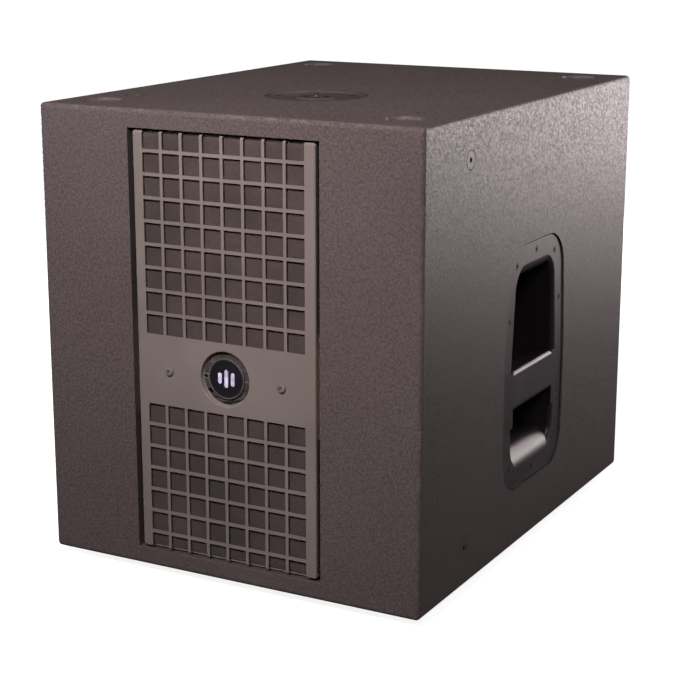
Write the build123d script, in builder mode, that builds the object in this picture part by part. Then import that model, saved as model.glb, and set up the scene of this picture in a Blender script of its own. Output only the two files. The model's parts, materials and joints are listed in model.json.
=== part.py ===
from build123d import *

# Self-powered 15 inch slot-loaded bass-reflex subwoofer cabinet, in millimetres.
# +Z is up, the grille faces -Y, and the origin is on the floor under the middle
# of the cabinet, level with the underside of the rubber feet.

import os
from math import cos, pi, radians, sin

os.makedirs("parts", exist_ok=True)

# ---------------------------------------------------------------- wooden body
WIDTH = 464.0
DEPTH = 594.0
HEIGHT = 510.0  # without the feet
FOOT_HEIGHT = 10.0
PLY = 18.0  # birch plywood
LAP = 10.0  # wood left outside a rabbet
EDGE_RADIUS = 5.5  # roundover of the outer edges
RUN = 0.05  # slack round a screw's shank or a moving shaft

SIDE = WIDTH / 2
FRONT = -DEPTH / 2
BACK = DEPTH / 2
FLOOR = FOOT_HEIGHT
TOP = FOOT_HEIGHT + HEIGHT
MID_Z = (FLOOR + TOP) / 2
INNER_SIDE = SIDE - PLY
INNER_FRONT = FRONT + PLY
INNER_FLOOR = FLOOR + PLY
INNER_TOP = TOP - PLY
INNER_WIDTH = 2 * INNER_SIDE
INNER_HEIGHT = INNER_TOP - INNER_FLOOR

# ---------------------------------------------------------------- grille and badge
OPENING_WIDTH = 232.0
OPENING_MARGIN = 20.5  # wood above and below the opening
PANEL_WIDTH = 221.5
PANEL_GAP_Z = 2.25
PANEL_RECESS = 1.5
SHEET = 1.5
RETURN_DEPTH = 11.0
BEND_RADIUS = 2.4
HOLE_PITCH = 25.0
HOLE_SIZE = 21.5
HOLE_CORNER = 0.7
HOLE_COLUMNS = 8
HOLE_ROWS = 19
BLANK_ROWS = (9, 10, 11)  # rows left solid round the badge
FIRST_HOLE_TOP = 20.4  # below the top of the cabinet
FOLD_CUT = 5.0  # how far the end rows wrap round the fold

OPENING_HEIGHT = HEIGHT - 2 * OPENING_MARGIN
PANEL_HEIGHT = OPENING_HEIGHT - 2 * PANEL_GAP_Z
PANEL_FACE = FRONT + PANEL_RECESS
PANEL_BACK = PANEL_FACE + SHEET
BADGE_Z = TOP - 281.4
GRILLE_SCREW_X = 70.0
GRILLE_SCREW_RADIUS = 2.5

DISH_RADIUS = 30.0
DISH_FLOOR_RADIUS = 23.4
DISH_DEPTH = 7.0
DISH_LIP = 1.4  # roundover between the panel's face and the dish
RING_RADIUS = 22.4
RING_HEIGHT = 4.4
DISC_RADIUS = 20.6
DISC_HEIGHT = 3.6

FOAM_FRONT = PANEL_BACK + 1.5
FOAM_THICKNESS = 8.0
CROSSBAR_WIDTH = 272.0
CROSSBAR_HEIGHT = 110.0
CROSSBAR_THICKNESS = 12.0
SPACER_RADIUS = 5.0

# ---------------------------------------------------------------- handles
HANDLE_Y = FRONT + 300.0
HANDLE_TOP = TOP - 160.0
HANDLE_BOTTOM = TOP - 440.0
HANDLE_SINK = 2.0  # flange face below the side of the cabinet
FLANGE = 3.5
REBATE_GAP = 1.8
POCKET_TOP = TOP - 187.0
POCKET_BOTTOM = TOP - 414.0
POCKET_DEPTH = 64.0
POCKET_WALL = 3.0
POCKET_DRAFT = 3.0  # degrees
FLANGE_CORNERS = (44.0, 34.0)  # radii at the top and the bottom
POCKET_CORNERS = (26.0, 24.0)
POCKET_FLOOR_RADIUS = 14.0
MOUTH_RADIUS = 5.5  # roundover from the flange into the pocket
LIP_RADIUS = 26.0  # rolled lower lip of the pocket
BROW_RADIUS = 15.0  # rolled upper edge of the pocket
LIP_SKIN = 4.0
LIP_HOLLOW = (40.0, 80.0)  # depth and width of the hollow behind the lower lip
LIP_HOLLOW_INSET = 10.0
GRIP_TOP_RADIUS = 5.0
GRIP_BOTTOM_RADIUS = 6.0
WING_REACH = 200.0  # wider than the whole flange
GRIP_TOP = TOP - 301.0
GRIP_BOTTOM = TOP - 348.0
GRIP_WING_BOTTOM = TOP - 367.0
GRIP_THICKNESS = 25.0
GRIP_HALF_LENGTH = 59.5

HANDLE_FACE = SIDE - HANDLE_SINK
HANDLE_SEAT = HANDLE_FACE - FLANGE
LIP_FOOT = POCKET_BOTTOM - MOUTH_RADIUS
BROW_FOOT = POCKET_TOP + MOUTH_RADIUS
POCKET_FLOOR = HANDLE_FACE - POCKET_DEPTH

# (half width, height) down one side of each outline
OUTLINE = [(77, HANDLE_TOP), (87, TOP - 295), (87, TOP - 375), (83, HANDLE_BOTTOM)]
POCKET = [(52, POCKET_TOP), (62, TOP - 300), (62, TOP - 365), (56, POCKET_BOTTOM)]

# (distance behind the handle's middle, height)
TRAY_SCREWS = [(0, TOP - 170.5), (0, TOP - 427)]
for side in (-1, 1):
    TRAY_SCREWS += [(side * 55.5, TOP - 180.5), (side * 73, TOP - 240), (side * 66, TOP - 413)]
GRIP_SCREWS = [(-74, TOP - 357), (74, TOP - 357)]

# ---------------------------------------------------------------- top, sides, feet
POLE_Y = FRONT + 202.5
POLE_FLANGE_RADIUS = 58.0
POLE_FLANGE = 6.0
POLE_DISH = 2.5
POLE_NUT_RADIUS = 16.0
POLE_BORE_RADIUS = 8.65  # minor radius of an M20 thread
POLE_NUT_LENGTH = 38.0
POLE_SCREW_CIRCLE = 48.0
SOCKET_RADIUS = 20.5  # tube that holds the nut
SOCKET_RIM = 3.0  # width of the flat rim round the dish
RIG_Y = FRONT + 110.0
RIG_DROP = 45.0
RIG_TOP_X = SIDE - 50.0
INSERT_FLANGE_RADIUS = 11.0
INSERT_FLANGE = 6.5
INSERT_RADIUS = 7.0
INSERT_LENGTH = 16.0
M10_MINOR = 4.25
PLUG_HEAD = 9.5
FOOT_X = SIDE - 48.0
FOOT_Y = DEPTH / 2 - 55.0
FOOT_RADIUS = 19.0
CUP_RADIUS = 21.0
CUP_DEPTH = 3.0

# ---------------------------------------------------------------- woofer and its chamber
WOOFER_Z = 296.5
BAFFLE_FRONT = -190.0
BAFFLE_THICKNESS = 24.0
BAFFLE_BACK = BAFFLE_FRONT + BAFFLE_THICKNESS
BAFFLE_HOLE = 178.0
FRAME_RADIUS = 195.0
FRAME_THICKNESS = 10.0
GASKET = 2.0
FRAME_BACK = BAFFLE_FRONT - GASKET
FRAME_FACE = FRAME_BACK - FRAME_THICKNESS
LANDING = FRAME_FACE + 6.0  # where the surround is glued
BOLT_CIRCLE = 186.5
BOLT_COUNT = 8
BOLT_RADIUS = 3.0
SPOKES = 8
SPOKE_WIDTH = 24.0
RIM_INNER = 168.0  # inside of the basket's deep rim
WAIST_OUTER = 118.0  # outside of its waist round the spider
WAIST_INNER = 112.0
SEAT_INNER = 98.0  # inner edge of the spider's seat
NECK_INNER = 60.0  # opening in the basket's back
WINDOW_OUTER = 162.0
WINDOW_INNER = 120.0
BASKET_WALL = 6.0
SPIDER_LANDING = -104.0
PLATE_FRONT = -88.0
PLATE_THICKNESS = 12.0
MAGNET_THICKNESS = 28.0
YOKE_THICKNESS = 12.0
MAGNET_RADIUS = 110.0
POLE_RADIUS = 49.9
FORMER_INNER = 50.5
FORMER_OUTER = 51.0
WINDING_OUTER = 52.0
GAP_OUTER = 52.6
CONE_RADIUS = 146.0
CONE_NECK = -130.0
CONE_SKIN = 2.2
ROLL_OUTER = 164.0
SURROUND_SKIN = 1.2
SPIDER_SKIN = 0.9
PORT_HEIGHT = 48.0
SHELF = 15.0
PORT_LENGTH = 230.0
BRACE_Y = 94.0
BRACE_RIM = 36.0

MAGNET_FRONT = PLATE_FRONT + PLATE_THICKNESS
YOKE_FRONT = MAGNET_FRONT + MAGNET_THICKNESS
BAFFLE_BOTTOM = INNER_FLOOR + PORT_HEIGHT + SHELF

# ---------------------------------------------------------------- amplifier in the back
AMP_Z = 265.0
TRAY_WIDTH = 280.0
TRAY_HEIGHT = 340.0
RECESS_WIDTH = 250.0
RECESS_HEIGHT = 310.0
TRAY_DEPTH = 22.0
TRAY_SHEET = 2.0
TRAY_OUT = BACK - TRAY_DEPTH  # outer face of the tray's floor
TRAY_IN = TRAY_OUT - TRAY_SHEET
HOUSING_WIDTH = RECESS_WIDTH - 6
HOUSING_HEIGHT = RECESS_HEIGHT - 6
HOUSING_DEPTH = 113.0
HOUSING_BACK = TRAY_IN - HOUSING_DEPTH + 2
BOARD_FACE = TRAY_IN - 16.0
BOARD_THICKNESS = 1.6
FIN_COUNT = 15
FIN_THICKNESS = 3.0
FIN_SPAN = 224.0
FIN_BOTTOM = 292.0
FIN_TOP = 408.0

CONTROL_Z = 250.0
LEVEL_X = 78.0
LOWPASS_X = 34.0
POLARITY_X = -8.0
LAMPS_X = (-46.0, -60.0, -74.0)
KNOB_RADIUS = 9.0
KNOB_HEIGHT = 13.0
SHAFT_RADIUS = 3.0
BUSHING_RADIUS = 3.6
BUSHING_END = TRAY_OUT + 2
SHAFT_END = TRAY_IN - 10
BUTTON_RADIUS = 4.0
XLR_Z = 190.0
INPUT_X = 78.0
LINK_X = 34.0
XLR_FLANGE = 2.5
XLR_FACE = TRAY_OUT + XLR_FLANGE
XLR_BARREL = 12.0
XLR_CUP_RADIUS = 9.6
XLR_CUP_DEPTH = 16.0
LATCH_RISE = 12.6
SOCKET_WIDTH = 26.0
SOCKET_HEIGHT = 31.0
PIN_CIRCLE = 3.4
POWER_X = -60.0
SWITCH_Z = 196.0
MAINS_Z = 146.0
MAINS_FACE = TRAY_OUT + 3
MAINS_FLANGE = (44.0, 28.0)
MAINS_BODY = (30.0, 22.0)
MAINS_CAVITY = (24.4, 16.4)
MAINS_CAVITY_DEPTH = 17.0
ROCKER_FLANGE = (22.0, 30.0)
ROCKER_BODY = (18.0, 26.0)
ROCKER_WINDOW = (13.4, 21.0)
ROCKER_FACE = TRAY_OUT + 2.5
ROCKER_WIDTH = 12.8
CUT_SLACK = 0.4  # tray hole larger than the body that it takes
ROCKER_TILT = 10.0
ROCKER_PIVOT = TRAY_OUT - 2.0
PIN_RADIUS = 1.5

AMP_SCREWS = [(x, AMP_Z + z) for x in (-133, 133) for z in (-160, -54, 54, 160)]
AMP_SCREWS += [(x, AMP_Z + z) for x in (-45, 45) for z in (-163, 163)]

FORWARD = (0, -1, 0)
REARWARD = (0, 1, 0)
UPWARD = (0, 0, 1)


def save(builder, label):
    """Name a finished piece and write it."""
    builder.part.label = label
    export_step(builder.part, f"parts/{label}.step")


def facing(x, y, z, direction):
    """A place at (x, y, z) whose own +Z points along direction."""
    return Plane(origin=(x, y, z), z_dir=direction).location


def side_plane(x):
    """A plane facing +X whose own x runs to the back and y runs up."""
    return Plane(origin=(x, 0, 0), x_dir=(0, 1, 0), z_dir=(1, 0, 0))


def upright(x, y, z):
    """A plane facing the back at (x, y, z): its own x runs to -X and its y runs up."""
    return Plane(origin=(x, y, z), x_dir=(-1, 0, 0), z_dir=REARWARD)


def turned(points, x=0.0, z=WOOFER_Z):
    """Solid of revolution about the Y line through (x, z), from (radius, y) points."""
    with BuildPart() as solid:
        with BuildSketch(Plane.XY.offset(z)):
            with BuildLine():
                Polyline(*((x + r, y) for r, y in points), close=True)
            make_face()
        revolve(axis=Axis((x, 0, z), REARWARD))
    return solid.part


def upright_turned(points, x, y):
    """Solid of revolution about the upright line through (x, y), from (radius, z) points."""
    with BuildPart() as solid:
        with BuildSketch(Plane.XZ.offset(-y)):
            with BuildLine():
                Polyline(*((x + r, z) for r, z in points), close=True)
            make_face()
        revolve(axis=Axis((x, y, 0), UPWARD))
    return solid.part


def tall_outline(half, corners, grow=0.0):
    """Face of a rounded upright outline, from the (half width, height) points."""
    corner_top, corner_bottom = corners
    right = [(HANDLE_Y + x, z) for x, z in half]
    left = [(HANDLE_Y - x, z) for x, z in reversed(half)]
    top = half[0][1]
    bottom = half[-1][1]
    with BuildSketch() as outline:
        with BuildLine():
            Polyline(*right, *left, close=True)
        make_face()
        fillet([v for v in outline.vertices() if bottom + 1 < v.Y < top - 1], 300)
        fillet([v for v in outline.vertices() if v.Y > top - 1], corner_top)
        fillet([v for v in outline.vertices() if v.Y < bottom + 1], corner_bottom)
        if grow:
            offset(amount=grow)
    return outline.sketch


def rolled_edge(blank, foot, radius, inward):
    """Part of the tray that rolls from its face into the pocket, upward (1) or downward (-1)."""
    crest = foot + inward * radius
    turn = radius * (1 - cos(radians(45)))
    back = POCKET_FLOOR - POCKET_WALL / 2
    with BuildPart() as rolled:
        with BuildSketch(Plane.XZ.offset(-HANDLE_Y)):
            with BuildLine():
                ThreePointArc(
                    (HANDLE_FACE, foot),
                    (HANDLE_FACE - turn, crest - inward * turn),
                    (HANDLE_FACE - radius, crest),
                )
                Polyline(
                    (HANDLE_FACE - radius, crest),
                    (back, crest),
                    (back, foot - inward),
                    (HANDLE_FACE, foot - inward),
                    (HANDLE_FACE, foot),
                )
            make_face()
        extrude(amount=2 * POCKET_DEPTH, both=True)
        add(blank, mode=Mode.INTERSECT)
    return rolled.part


def folds(start, stop, count, height, skin, y):
    """Front and back (radius, y) outlines of a skin with round folds between two radii."""
    steps = 8 * count
    front = []
    for i in range(steps + 1):
        radius = start + (stop - start) * i / steps
        front.append((radius, y - height * abs(sin(pi * count * i / steps))))
    back = [(radius, level + skin) for radius, level in reversed(front)]
    return front, back


# ---------------------------------------------------------------- fasteners
def countersunk_screw(head, shank, length, socket):
    """Flat-headed screw, its head's face at z = 0 and its shank along -Z."""
    cone_height = head - shank
    with BuildPart() as screw:
        with BuildSketch(Plane.XZ):
            with BuildLine():
                Polyline(
                    (0, 0),
                    (head, 0),
                    (head, -0.4),
                    (shank, -0.4 - cone_height),
                    (shank, -length),
                    (0, -length),
                    close=True,
                )
            make_face()
        revolve(axis=Axis.Z)
        with BuildSketch(Plane.XY):
            RegularPolygon(socket, 6)
        extrude(amount=-cone_height, mode=Mode.SUBTRACT)
    return screw.part


def button_screw(head, height, shank, length, socket):
    """Round-headed screw, the underside of its head at z = 0, shank along -Z."""
    with BuildPart() as screw:
        Cylinder(head, height, align=(Align.CENTER, Align.CENTER, Align.MIN))
        fillet(screw.edges().group_by(Axis.Z)[-1], height * 0.7)
        Cylinder(shank, length, align=(Align.CENTER, Align.CENTER, Align.MAX))
        with BuildSketch(Plane.XY.offset(height)):
            RegularPolygon(socket, 6)
        extrude(amount=-height * 0.7, mode=Mode.SUBTRACT)
    return screw.part


def countersink(head, shank):
    """Cutter for a flat-headed screw, its mouth at z = 0."""
    with BuildPart() as cutter:
        with BuildSketch(Plane.XZ):
            with BuildLine():
                Polyline(
                    (0, 1),
                    (head + RUN, 1),
                    (head + RUN, -0.4),
                    (shank + RUN, -0.4 - head + shank),
                    (shank + RUN, -30),
                    (0, -30),
                    close=True,
                )
            make_face()
        revolve(axis=Axis.Z)
    return cutter.part


# ---------------------------------------------------------------- wooden body
with BuildPart() as body_block:
    with Locations((0, 0, MID_Z)):
        Box(WIDTH, DEPTH, HEIGHT)
    fillet(body_block.edges(), EDGE_RADIUS)

with BuildPart() as front_board:
    with Locations((0, FRONT + PLY / 2, MID_Z)):
        Box(WIDTH - 2 * LAP, PLY, HEIGHT - 2 * LAP)

with BuildPart() as back_board:
    with Locations((0, BACK - PLY / 2, MID_Z)):
        Box(WIDTH - 2 * LAP, PLY, HEIGHT - 2 * LAP)

with BuildPart() as side_boards:
    for side in (-1, 1):
        with Locations((side * (SIDE - PLY / 2), 0, MID_Z)):
            Box(PLY, DEPTH, HEIGHT - 2 * LAP)

with BuildPart() as front_baffle:
    add(front_board.part)
    with Locations((0, FRONT + PLY / 2, MID_Z)):
        Box(OPENING_WIDTH, PLY, OPENING_HEIGHT, mode=Mode.SUBTRACT)
    front_edges = front_baffle.faces().sort_by(Axis.Y)[0].inner_wires()[0].edges()
    fillet(front_edges, 0.8)
save(front_baffle, "front_baffle")

with BuildPart() as back_panel:
    add(back_board.part)
    with Locations((0, BACK, AMP_Z)):
        Box(TRAY_WIDTH + 1.5, 2 * TRAY_SHEET, TRAY_HEIGHT + 1.5, mode=Mode.SUBTRACT)
        Box(RECESS_WIDTH + 8, 4 * PLY, RECESS_HEIGHT + 8, mode=Mode.SUBTRACT)
    with Locations(*(facing(x, BACK - TRAY_SHEET, z, REARWARD) for x, z in AMP_SCREWS)):
        Hole(2 + RUN, 13)
save(back_panel, "back_panel")

seat_outline = tall_outline(OUTLINE, FLANGE_CORNERS, REBATE_GAP)
flange_outline = tall_outline(OUTLINE, FLANGE_CORNERS)
pocket_outline = tall_outline(POCKET, POCKET_CORNERS)
shell_outline = tall_outline(POCKET, POCKET_CORNERS, POCKET_WALL)
hole_outline = tall_outline(POCKET, POCKET_CORNERS, POCKET_WALL + 1.5)
ALL_HANDLE_SCREWS = TRAY_SCREWS + GRIP_SCREWS

with BuildPart() as right_side_panel:
    add(body_block.part)
    with Locations((SIDE - PLY / 2, 0, MID_Z)):
        Box(PLY, DEPTH, HEIGHT - 2 * LAP, mode=Mode.INTERSECT)
    add(front_board.part, mode=Mode.SUBTRACT)
    add(back_board.part, mode=Mode.SUBTRACT)
    with BuildSketch(side_plane(HANDLE_SEAT)):
        add(seat_outline)
    extrude(amount=PLY, mode=Mode.SUBTRACT)
    with BuildSketch(side_plane(INNER_SIDE - 1)):
        add(hole_outline)
    extrude(amount=2 * PLY, mode=Mode.SUBTRACT)
    with Locations(*(facing(HANDLE_SEAT, HANDLE_Y + y, z, (1, 0, 0)) for y, z in ALL_HANDLE_SCREWS)):
        Hole(2 + RUN, 11.5)
    with Locations(*(facing(SIDE, RIG_Y, z, (1, 0, 0)) for z in (TOP - RIG_DROP, FLOOR + RIG_DROP))):
        CounterBoreHole(INSERT_RADIUS, INSERT_FLANGE_RADIUS, INSERT_FLANGE, INSERT_LENGTH)
save(right_side_panel, "right_side_panel")

with BuildPart() as left_side_panel:
    mirror(right_side_panel.part, about=Plane.YZ)
save(left_side_panel, "left_side_panel")

foot_places = [(x, y) for x in (-FOOT_X, FOOT_X) for y in (-FOOT_Y, FOOT_Y)]

with BuildPart() as bottom_panel:
    add(body_block.part)
    with Locations((0, 0, FLOOR + PLY / 2)):
        Box(WIDTH, DEPTH, PLY, mode=Mode.INTERSECT)
    for board in (front_board, back_board, side_boards):
        add(board.part, mode=Mode.SUBTRACT)
    with Locations(*(facing(x, y, FLOOR, (0, 0, -1)) for x, y in foot_places)):
        Hole(2.5 + RUN, 15)
save(bottom_panel, "bottom_panel")

with BuildPart() as top_panel:
    add(body_block.part)
    with Locations((0, 0, TOP - PLY / 2)):
        Box(WIDTH, DEPTH, PLY, mode=Mode.INTERSECT)
    for board in (front_board, back_board, side_boards):
        add(board.part, mode=Mode.SUBTRACT)
    with Locations(*((x, y, TOP) for x, y in foot_places)):
        Cone(CUP_RADIUS - 1.5, CUP_RADIUS + 1.5, 2 * CUP_DEPTH, mode=Mode.SUBTRACT)
    with Locations((0, POLE_Y, TOP)):
        CounterBoreHole(SOCKET_RADIUS + 0.5, POLE_FLANGE_RADIUS + 0.4, POLE_FLANGE)
    with Locations((0, POLE_Y, TOP - POLE_FLANGE)):
        with PolarLocations(POLE_SCREW_CIRCLE, 6):
            Hole(2 + RUN, 11)
    with Locations(*((x, RIG_Y, TOP) for x in (-RIG_TOP_X, RIG_TOP_X))):
        CounterBoreHole(INSERT_RADIUS, INSERT_FLANGE_RADIUS, INSERT_FLANGE, INSERT_LENGTH)
save(top_panel, "top_panel")

# ---------------------------------------------------------------- inner boards
with BuildPart() as woofer_baffle:
    with Locations((0, BAFFLE_FRONT + BAFFLE_THICKNESS / 2, (BAFFLE_BOTTOM + INNER_TOP) / 2)):
        Box(INNER_WIDTH, BAFFLE_THICKNESS, INNER_TOP - BAFFLE_BOTTOM)
    with Locations(facing(0, BAFFLE_FRONT, WOOFER_Z, FORWARD)):
        Hole(BAFFLE_HOLE, BAFFLE_THICKNESS)
        with PolarLocations(BOLT_CIRCLE, BOLT_COUNT, start_angle=22.5):
            Hole(BOLT_RADIUS + 1.6, BAFFLE_THICKNESS)
save(woofer_baffle, "woofer_baffle")

with BuildPart() as port_shelf:
    with Locations((0, BAFFLE_FRONT + PORT_LENGTH / 2, BAFFLE_BOTTOM - SHELF / 2)):
        Box(INNER_WIDTH, PORT_LENGTH, SHELF)
    fillet(port_shelf.faces().sort_by(Axis.Y)[-1].edges().filter_by(Axis.X), 6)
save(port_shelf, "port_shelf")

with BuildPart() as window_brace:
    with Locations((0, BRACE_Y + PLY / 2, (INNER_FLOOR + INNER_TOP) / 2)):
        Box(INNER_WIDTH, PLY, INNER_HEIGHT)
    window_width = (INNER_WIDTH - 3 * BRACE_RIM) / 2
    window_height = (INNER_HEIGHT - 3 * BRACE_RIM) / 2
    with BuildSketch(upright(0, BRACE_Y, (INNER_FLOOR + INNER_TOP) / 2)):
        with GridLocations(window_width + BRACE_RIM, window_height + BRACE_RIM, 2, 2):
            RectangleRounded(window_width, window_height, 24)
    extrude(amount=PLY, mode=Mode.SUBTRACT)
save(window_brace, "window_brace")

MAT = 18.0
MAT_LENGTH = 150.0
SIDE_MAT_HEIGHT = 340.0
TOP_MAT_WIDTH = 360.0
MAT_Y = 194.0
SIDE_MAT_Z = 290.0
with BuildPart() as damping_mats:
    for side in (-1, 1):
        with Locations((side * (INNER_SIDE - MAT / 2), MAT_Y, SIDE_MAT_Z)):
            Box(MAT, MAT_LENGTH, SIDE_MAT_HEIGHT)
    with Locations((0, MAT_Y, INNER_TOP - MAT / 2)):
        Box(TOP_MAT_WIDTH, MAT_LENGTH, MAT)
save(damping_mats, "damping_mats")

# ---------------------------------------------------------------- woofer
basket_wall = turned(
    [
        (FRAME_RADIUS, FRAME_FACE),
        (FRAME_RADIUS, FRAME_BACK),
        (BAFFLE_HOLE - 1.5, FRAME_BACK),
        (BAFFLE_HOLE - 1.5, BAFFLE_BACK - BASKET_WALL),
        (WAIST_OUTER, SPIDER_LANDING + 4),
        (MAGNET_RADIUS + 2, PLATE_FRONT),
        (NECK_INNER, PLATE_FRONT),
        (NECK_INNER, PLATE_FRONT - BASKET_WALL),
        (SEAT_INNER, PLATE_FRONT - BASKET_WALL),
        (SEAT_INNER, SPIDER_LANDING),
        (WAIST_INNER, SPIDER_LANDING),
        (RIM_INNER, BAFFLE_BACK - BASKET_WALL),
        (RIM_INNER, LANDING + 5),
        (ROLL_OUTER, LANDING + 5),
        (ROLL_OUTER, LANDING),
        (ROLL_OUTER + 14, LANDING),
        (ROLL_OUTER + 14, FRAME_FACE),
    ]
)
with BuildPart() as woofer_basket:
    add(basket_wall)
    with BuildSketch(upright(0, BAFFLE_BACK - 8, WOOFER_Z)):
        Circle(WINDOW_OUTER)
        Circle(WINDOW_INNER, mode=Mode.SUBTRACT)
        with PolarLocations((WINDOW_OUTER + WINDOW_INNER) / 2, SPOKES):
            Rectangle(60, SPOKE_WIDTH, mode=Mode.SUBTRACT)
    extrude(amount=60, mode=Mode.SUBTRACT)
    with Locations(facing(0, FRAME_FACE, WOOFER_Z, FORWARD)):
        with PolarLocations(BOLT_CIRCLE, BOLT_COUNT, start_angle=22.5):
            Hole(BOLT_RADIUS + RUN, FRAME_THICKNESS)
save(woofer_basket, "woofer_basket")

with BuildPart() as woofer_gasket:
    with BuildSketch(upright(0, FRAME_BACK, WOOFER_Z)):
        Circle(FRAME_RADIUS - 1)
        Circle(BAFFLE_HOLE, mode=Mode.SUBTRACT)
        with PolarLocations(BOLT_CIRCLE, BOLT_COUNT, start_angle=22.5):
            Circle(BOLT_RADIUS + 0.6, mode=Mode.SUBTRACT)
    extrude(amount=GASKET)
save(woofer_gasket, "woofer_gasket")

CONE_BEND = 90.0  # radius where the cone's slope eases
CONE_DROP = 30.0  # depth from its neck to the bend
cone_shape = turned(
    [
        (FORMER_OUTER, CONE_NECK),
        (CONE_BEND, CONE_NECK - CONE_DROP),
        (CONE_RADIUS - 10, LANDING),
        (CONE_RADIUS, LANDING),
        (CONE_RADIUS, LANDING + 1.6),
        (CONE_RADIUS - 9, LANDING + 1.6),
        (CONE_BEND, CONE_NECK - CONE_DROP + CONE_SKIN),
        (FORMER_OUTER, CONE_NECK + CONE_SKIN + 1),
    ]
)
with BuildPart() as cone:
    add(cone_shape)
save(cone, "cone")

ROLL_COUNT = 2
ROLL_HEIGHT = 5.0
front, back = folds(
    CONE_RADIUS, ROLL_OUTER, ROLL_COUNT, ROLL_HEIGHT, SURROUND_SKIN, LANDING - SURROUND_SKIN
)
surround_shape = turned(
    [(CONE_RADIUS - 9, LANDING - SURROUND_SKIN)]
    + front
    + [(ROLL_OUTER + 12, LANDING - SURROUND_SKIN), (ROLL_OUTER + 12, LANDING)]
    + back
    + [(CONE_RADIUS - 9, LANDING)]
)
with BuildPart() as surround:
    add(surround_shape)
save(surround, "surround")

SPIDER_INNER = 58.0  # radius where its folds start
SPIDER_FOLDS = 5
SPIDER_HEIGHT = 3.5
SPIDER_RIM = 111.0
front, back = folds(
    SPIDER_INNER, SEAT_INNER, SPIDER_FOLDS, SPIDER_HEIGHT, SPIDER_SKIN, SPIDER_LANDING - SPIDER_SKIN
)
spider_shape = turned(
    [(FORMER_OUTER, SPIDER_LANDING - SPIDER_SKIN)]
    + front
    + [(SPIDER_RIM, SPIDER_LANDING - SPIDER_SKIN), (SPIDER_RIM, SPIDER_LANDING)]
    + back
    + [(FORMER_OUTER, SPIDER_LANDING)]
)
with BuildPart() as spider:
    add(spider_shape)
save(spider, "spider")

CAP_RIM = 64.0
CAP_RISE = 17.0
CAP_SKIN = 1.2


def cone_front(radius):
    """Y of the cone's front face at a radius inside its bend."""
    return CONE_NECK - CONE_DROP * (radius - FORMER_OUTER) / (CONE_BEND - FORMER_OUTER)


def cap_front(radius):
    """Y of the dust cap's domed face at a radius."""
    return cone_front(CAP_RIM) - CAP_RISE * (1 - (radius / CAP_RIM) ** 2)


cap_radii = (0, 16, 32, 45, 55)
dust_cap_shape = turned(
    [(CAP_RIM, cone_front(CAP_RIM))]
    + [(radius, cap_front(radius)) for radius in reversed(cap_radii)]
    + [(radius, cap_front(radius) + CAP_SKIN) for radius in cap_radii]
    + [(CAP_RIM - 3, cone_front(CAP_RIM - 3))]
)
with BuildPart() as dust_cap:
    add(dust_cap_shape)
save(dust_cap, "dust_cap")

coil_shape = turned(
    [
        (FORMER_INNER, CONE_NECK - 1),
        (FORMER_OUTER, CONE_NECK - 1),
        (FORMER_OUTER, PLATE_FRONT - 6),
        (WINDING_OUTER, PLATE_FRONT - 6),
        (WINDING_OUTER, MAGNET_FRONT + 6),
        (FORMER_INNER, MAGNET_FRONT + 6),
    ]
)
with BuildPart() as voice_coil:
    add(coil_shape)
save(voice_coil, "voice_coil")

plate_shape = turned(
    [
        (GAP_OUTER, PLATE_FRONT),
        (MAGNET_RADIUS - 4, PLATE_FRONT),
        (MAGNET_RADIUS - 4, MAGNET_FRONT),
        (GAP_OUTER, MAGNET_FRONT),
    ]
)
with BuildPart() as top_plate:
    add(plate_shape)
save(top_plate, "top_plate")

magnet_shape = turned(
    [
        (NECK_INNER, MAGNET_FRONT),
        (MAGNET_RADIUS, MAGNET_FRONT),
        (MAGNET_RADIUS, YOKE_FRONT),
        (NECK_INNER, YOKE_FRONT),
    ]
)
with BuildPart() as magnet:
    add(magnet_shape)
save(magnet, "magnet")

VENT_RADIUS = 15.0
yoke_shape = turned(
    [
        (VENT_RADIUS, PLATE_FRONT - 2),
        (POLE_RADIUS, PLATE_FRONT - 2),
        (POLE_RADIUS, YOKE_FRONT),
        (MAGNET_RADIUS - 4, YOKE_FRONT),
        (MAGNET_RADIUS - 8, YOKE_FRONT + YOKE_THICKNESS),
        (VENT_RADIUS, YOKE_FRONT + YOKE_THICKNESS),
    ]
)
with BuildPart() as pole_yoke:
    add(yoke_shape)
save(pole_yoke, "pole_yoke")

frame_bolt = button_screw(5, 4, BOLT_RADIUS, FRAME_THICKNESS + GASKET + BAFFLE_THICKNESS + 4, 2.6)
with BuildPart() as woofer_bolts:
    with Locations(facing(0, FRAME_FACE, WOOFER_Z, FORWARD)):
        with PolarLocations(BOLT_CIRCLE, BOLT_COUNT, start_angle=22.5):
            add(frame_bolt)
save(woofer_bolts, "woofer_bolts")

T_NUT = 14.0
with BuildPart() as t_nut:
    Cylinder(7.2, 1.5, align=(Align.CENTER, Align.CENTER, Align.MIN))
    Cylinder(BOLT_RADIUS + 1.6, T_NUT, align=(Align.CENTER, Align.CENTER, Align.MAX))
    Cylinder(BOLT_RADIUS, 3 * T_NUT, mode=Mode.SUBTRACT)

with BuildPart() as woofer_t_nuts:
    with Locations(facing(0, BAFFLE_BACK, WOOFER_Z, REARWARD)):
        with PolarLocations(BOLT_CIRCLE, BOLT_COUNT, start_angle=22.5):
            add(t_nut.part)
save(woofer_t_nuts, "woofer_t_nuts")

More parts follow.
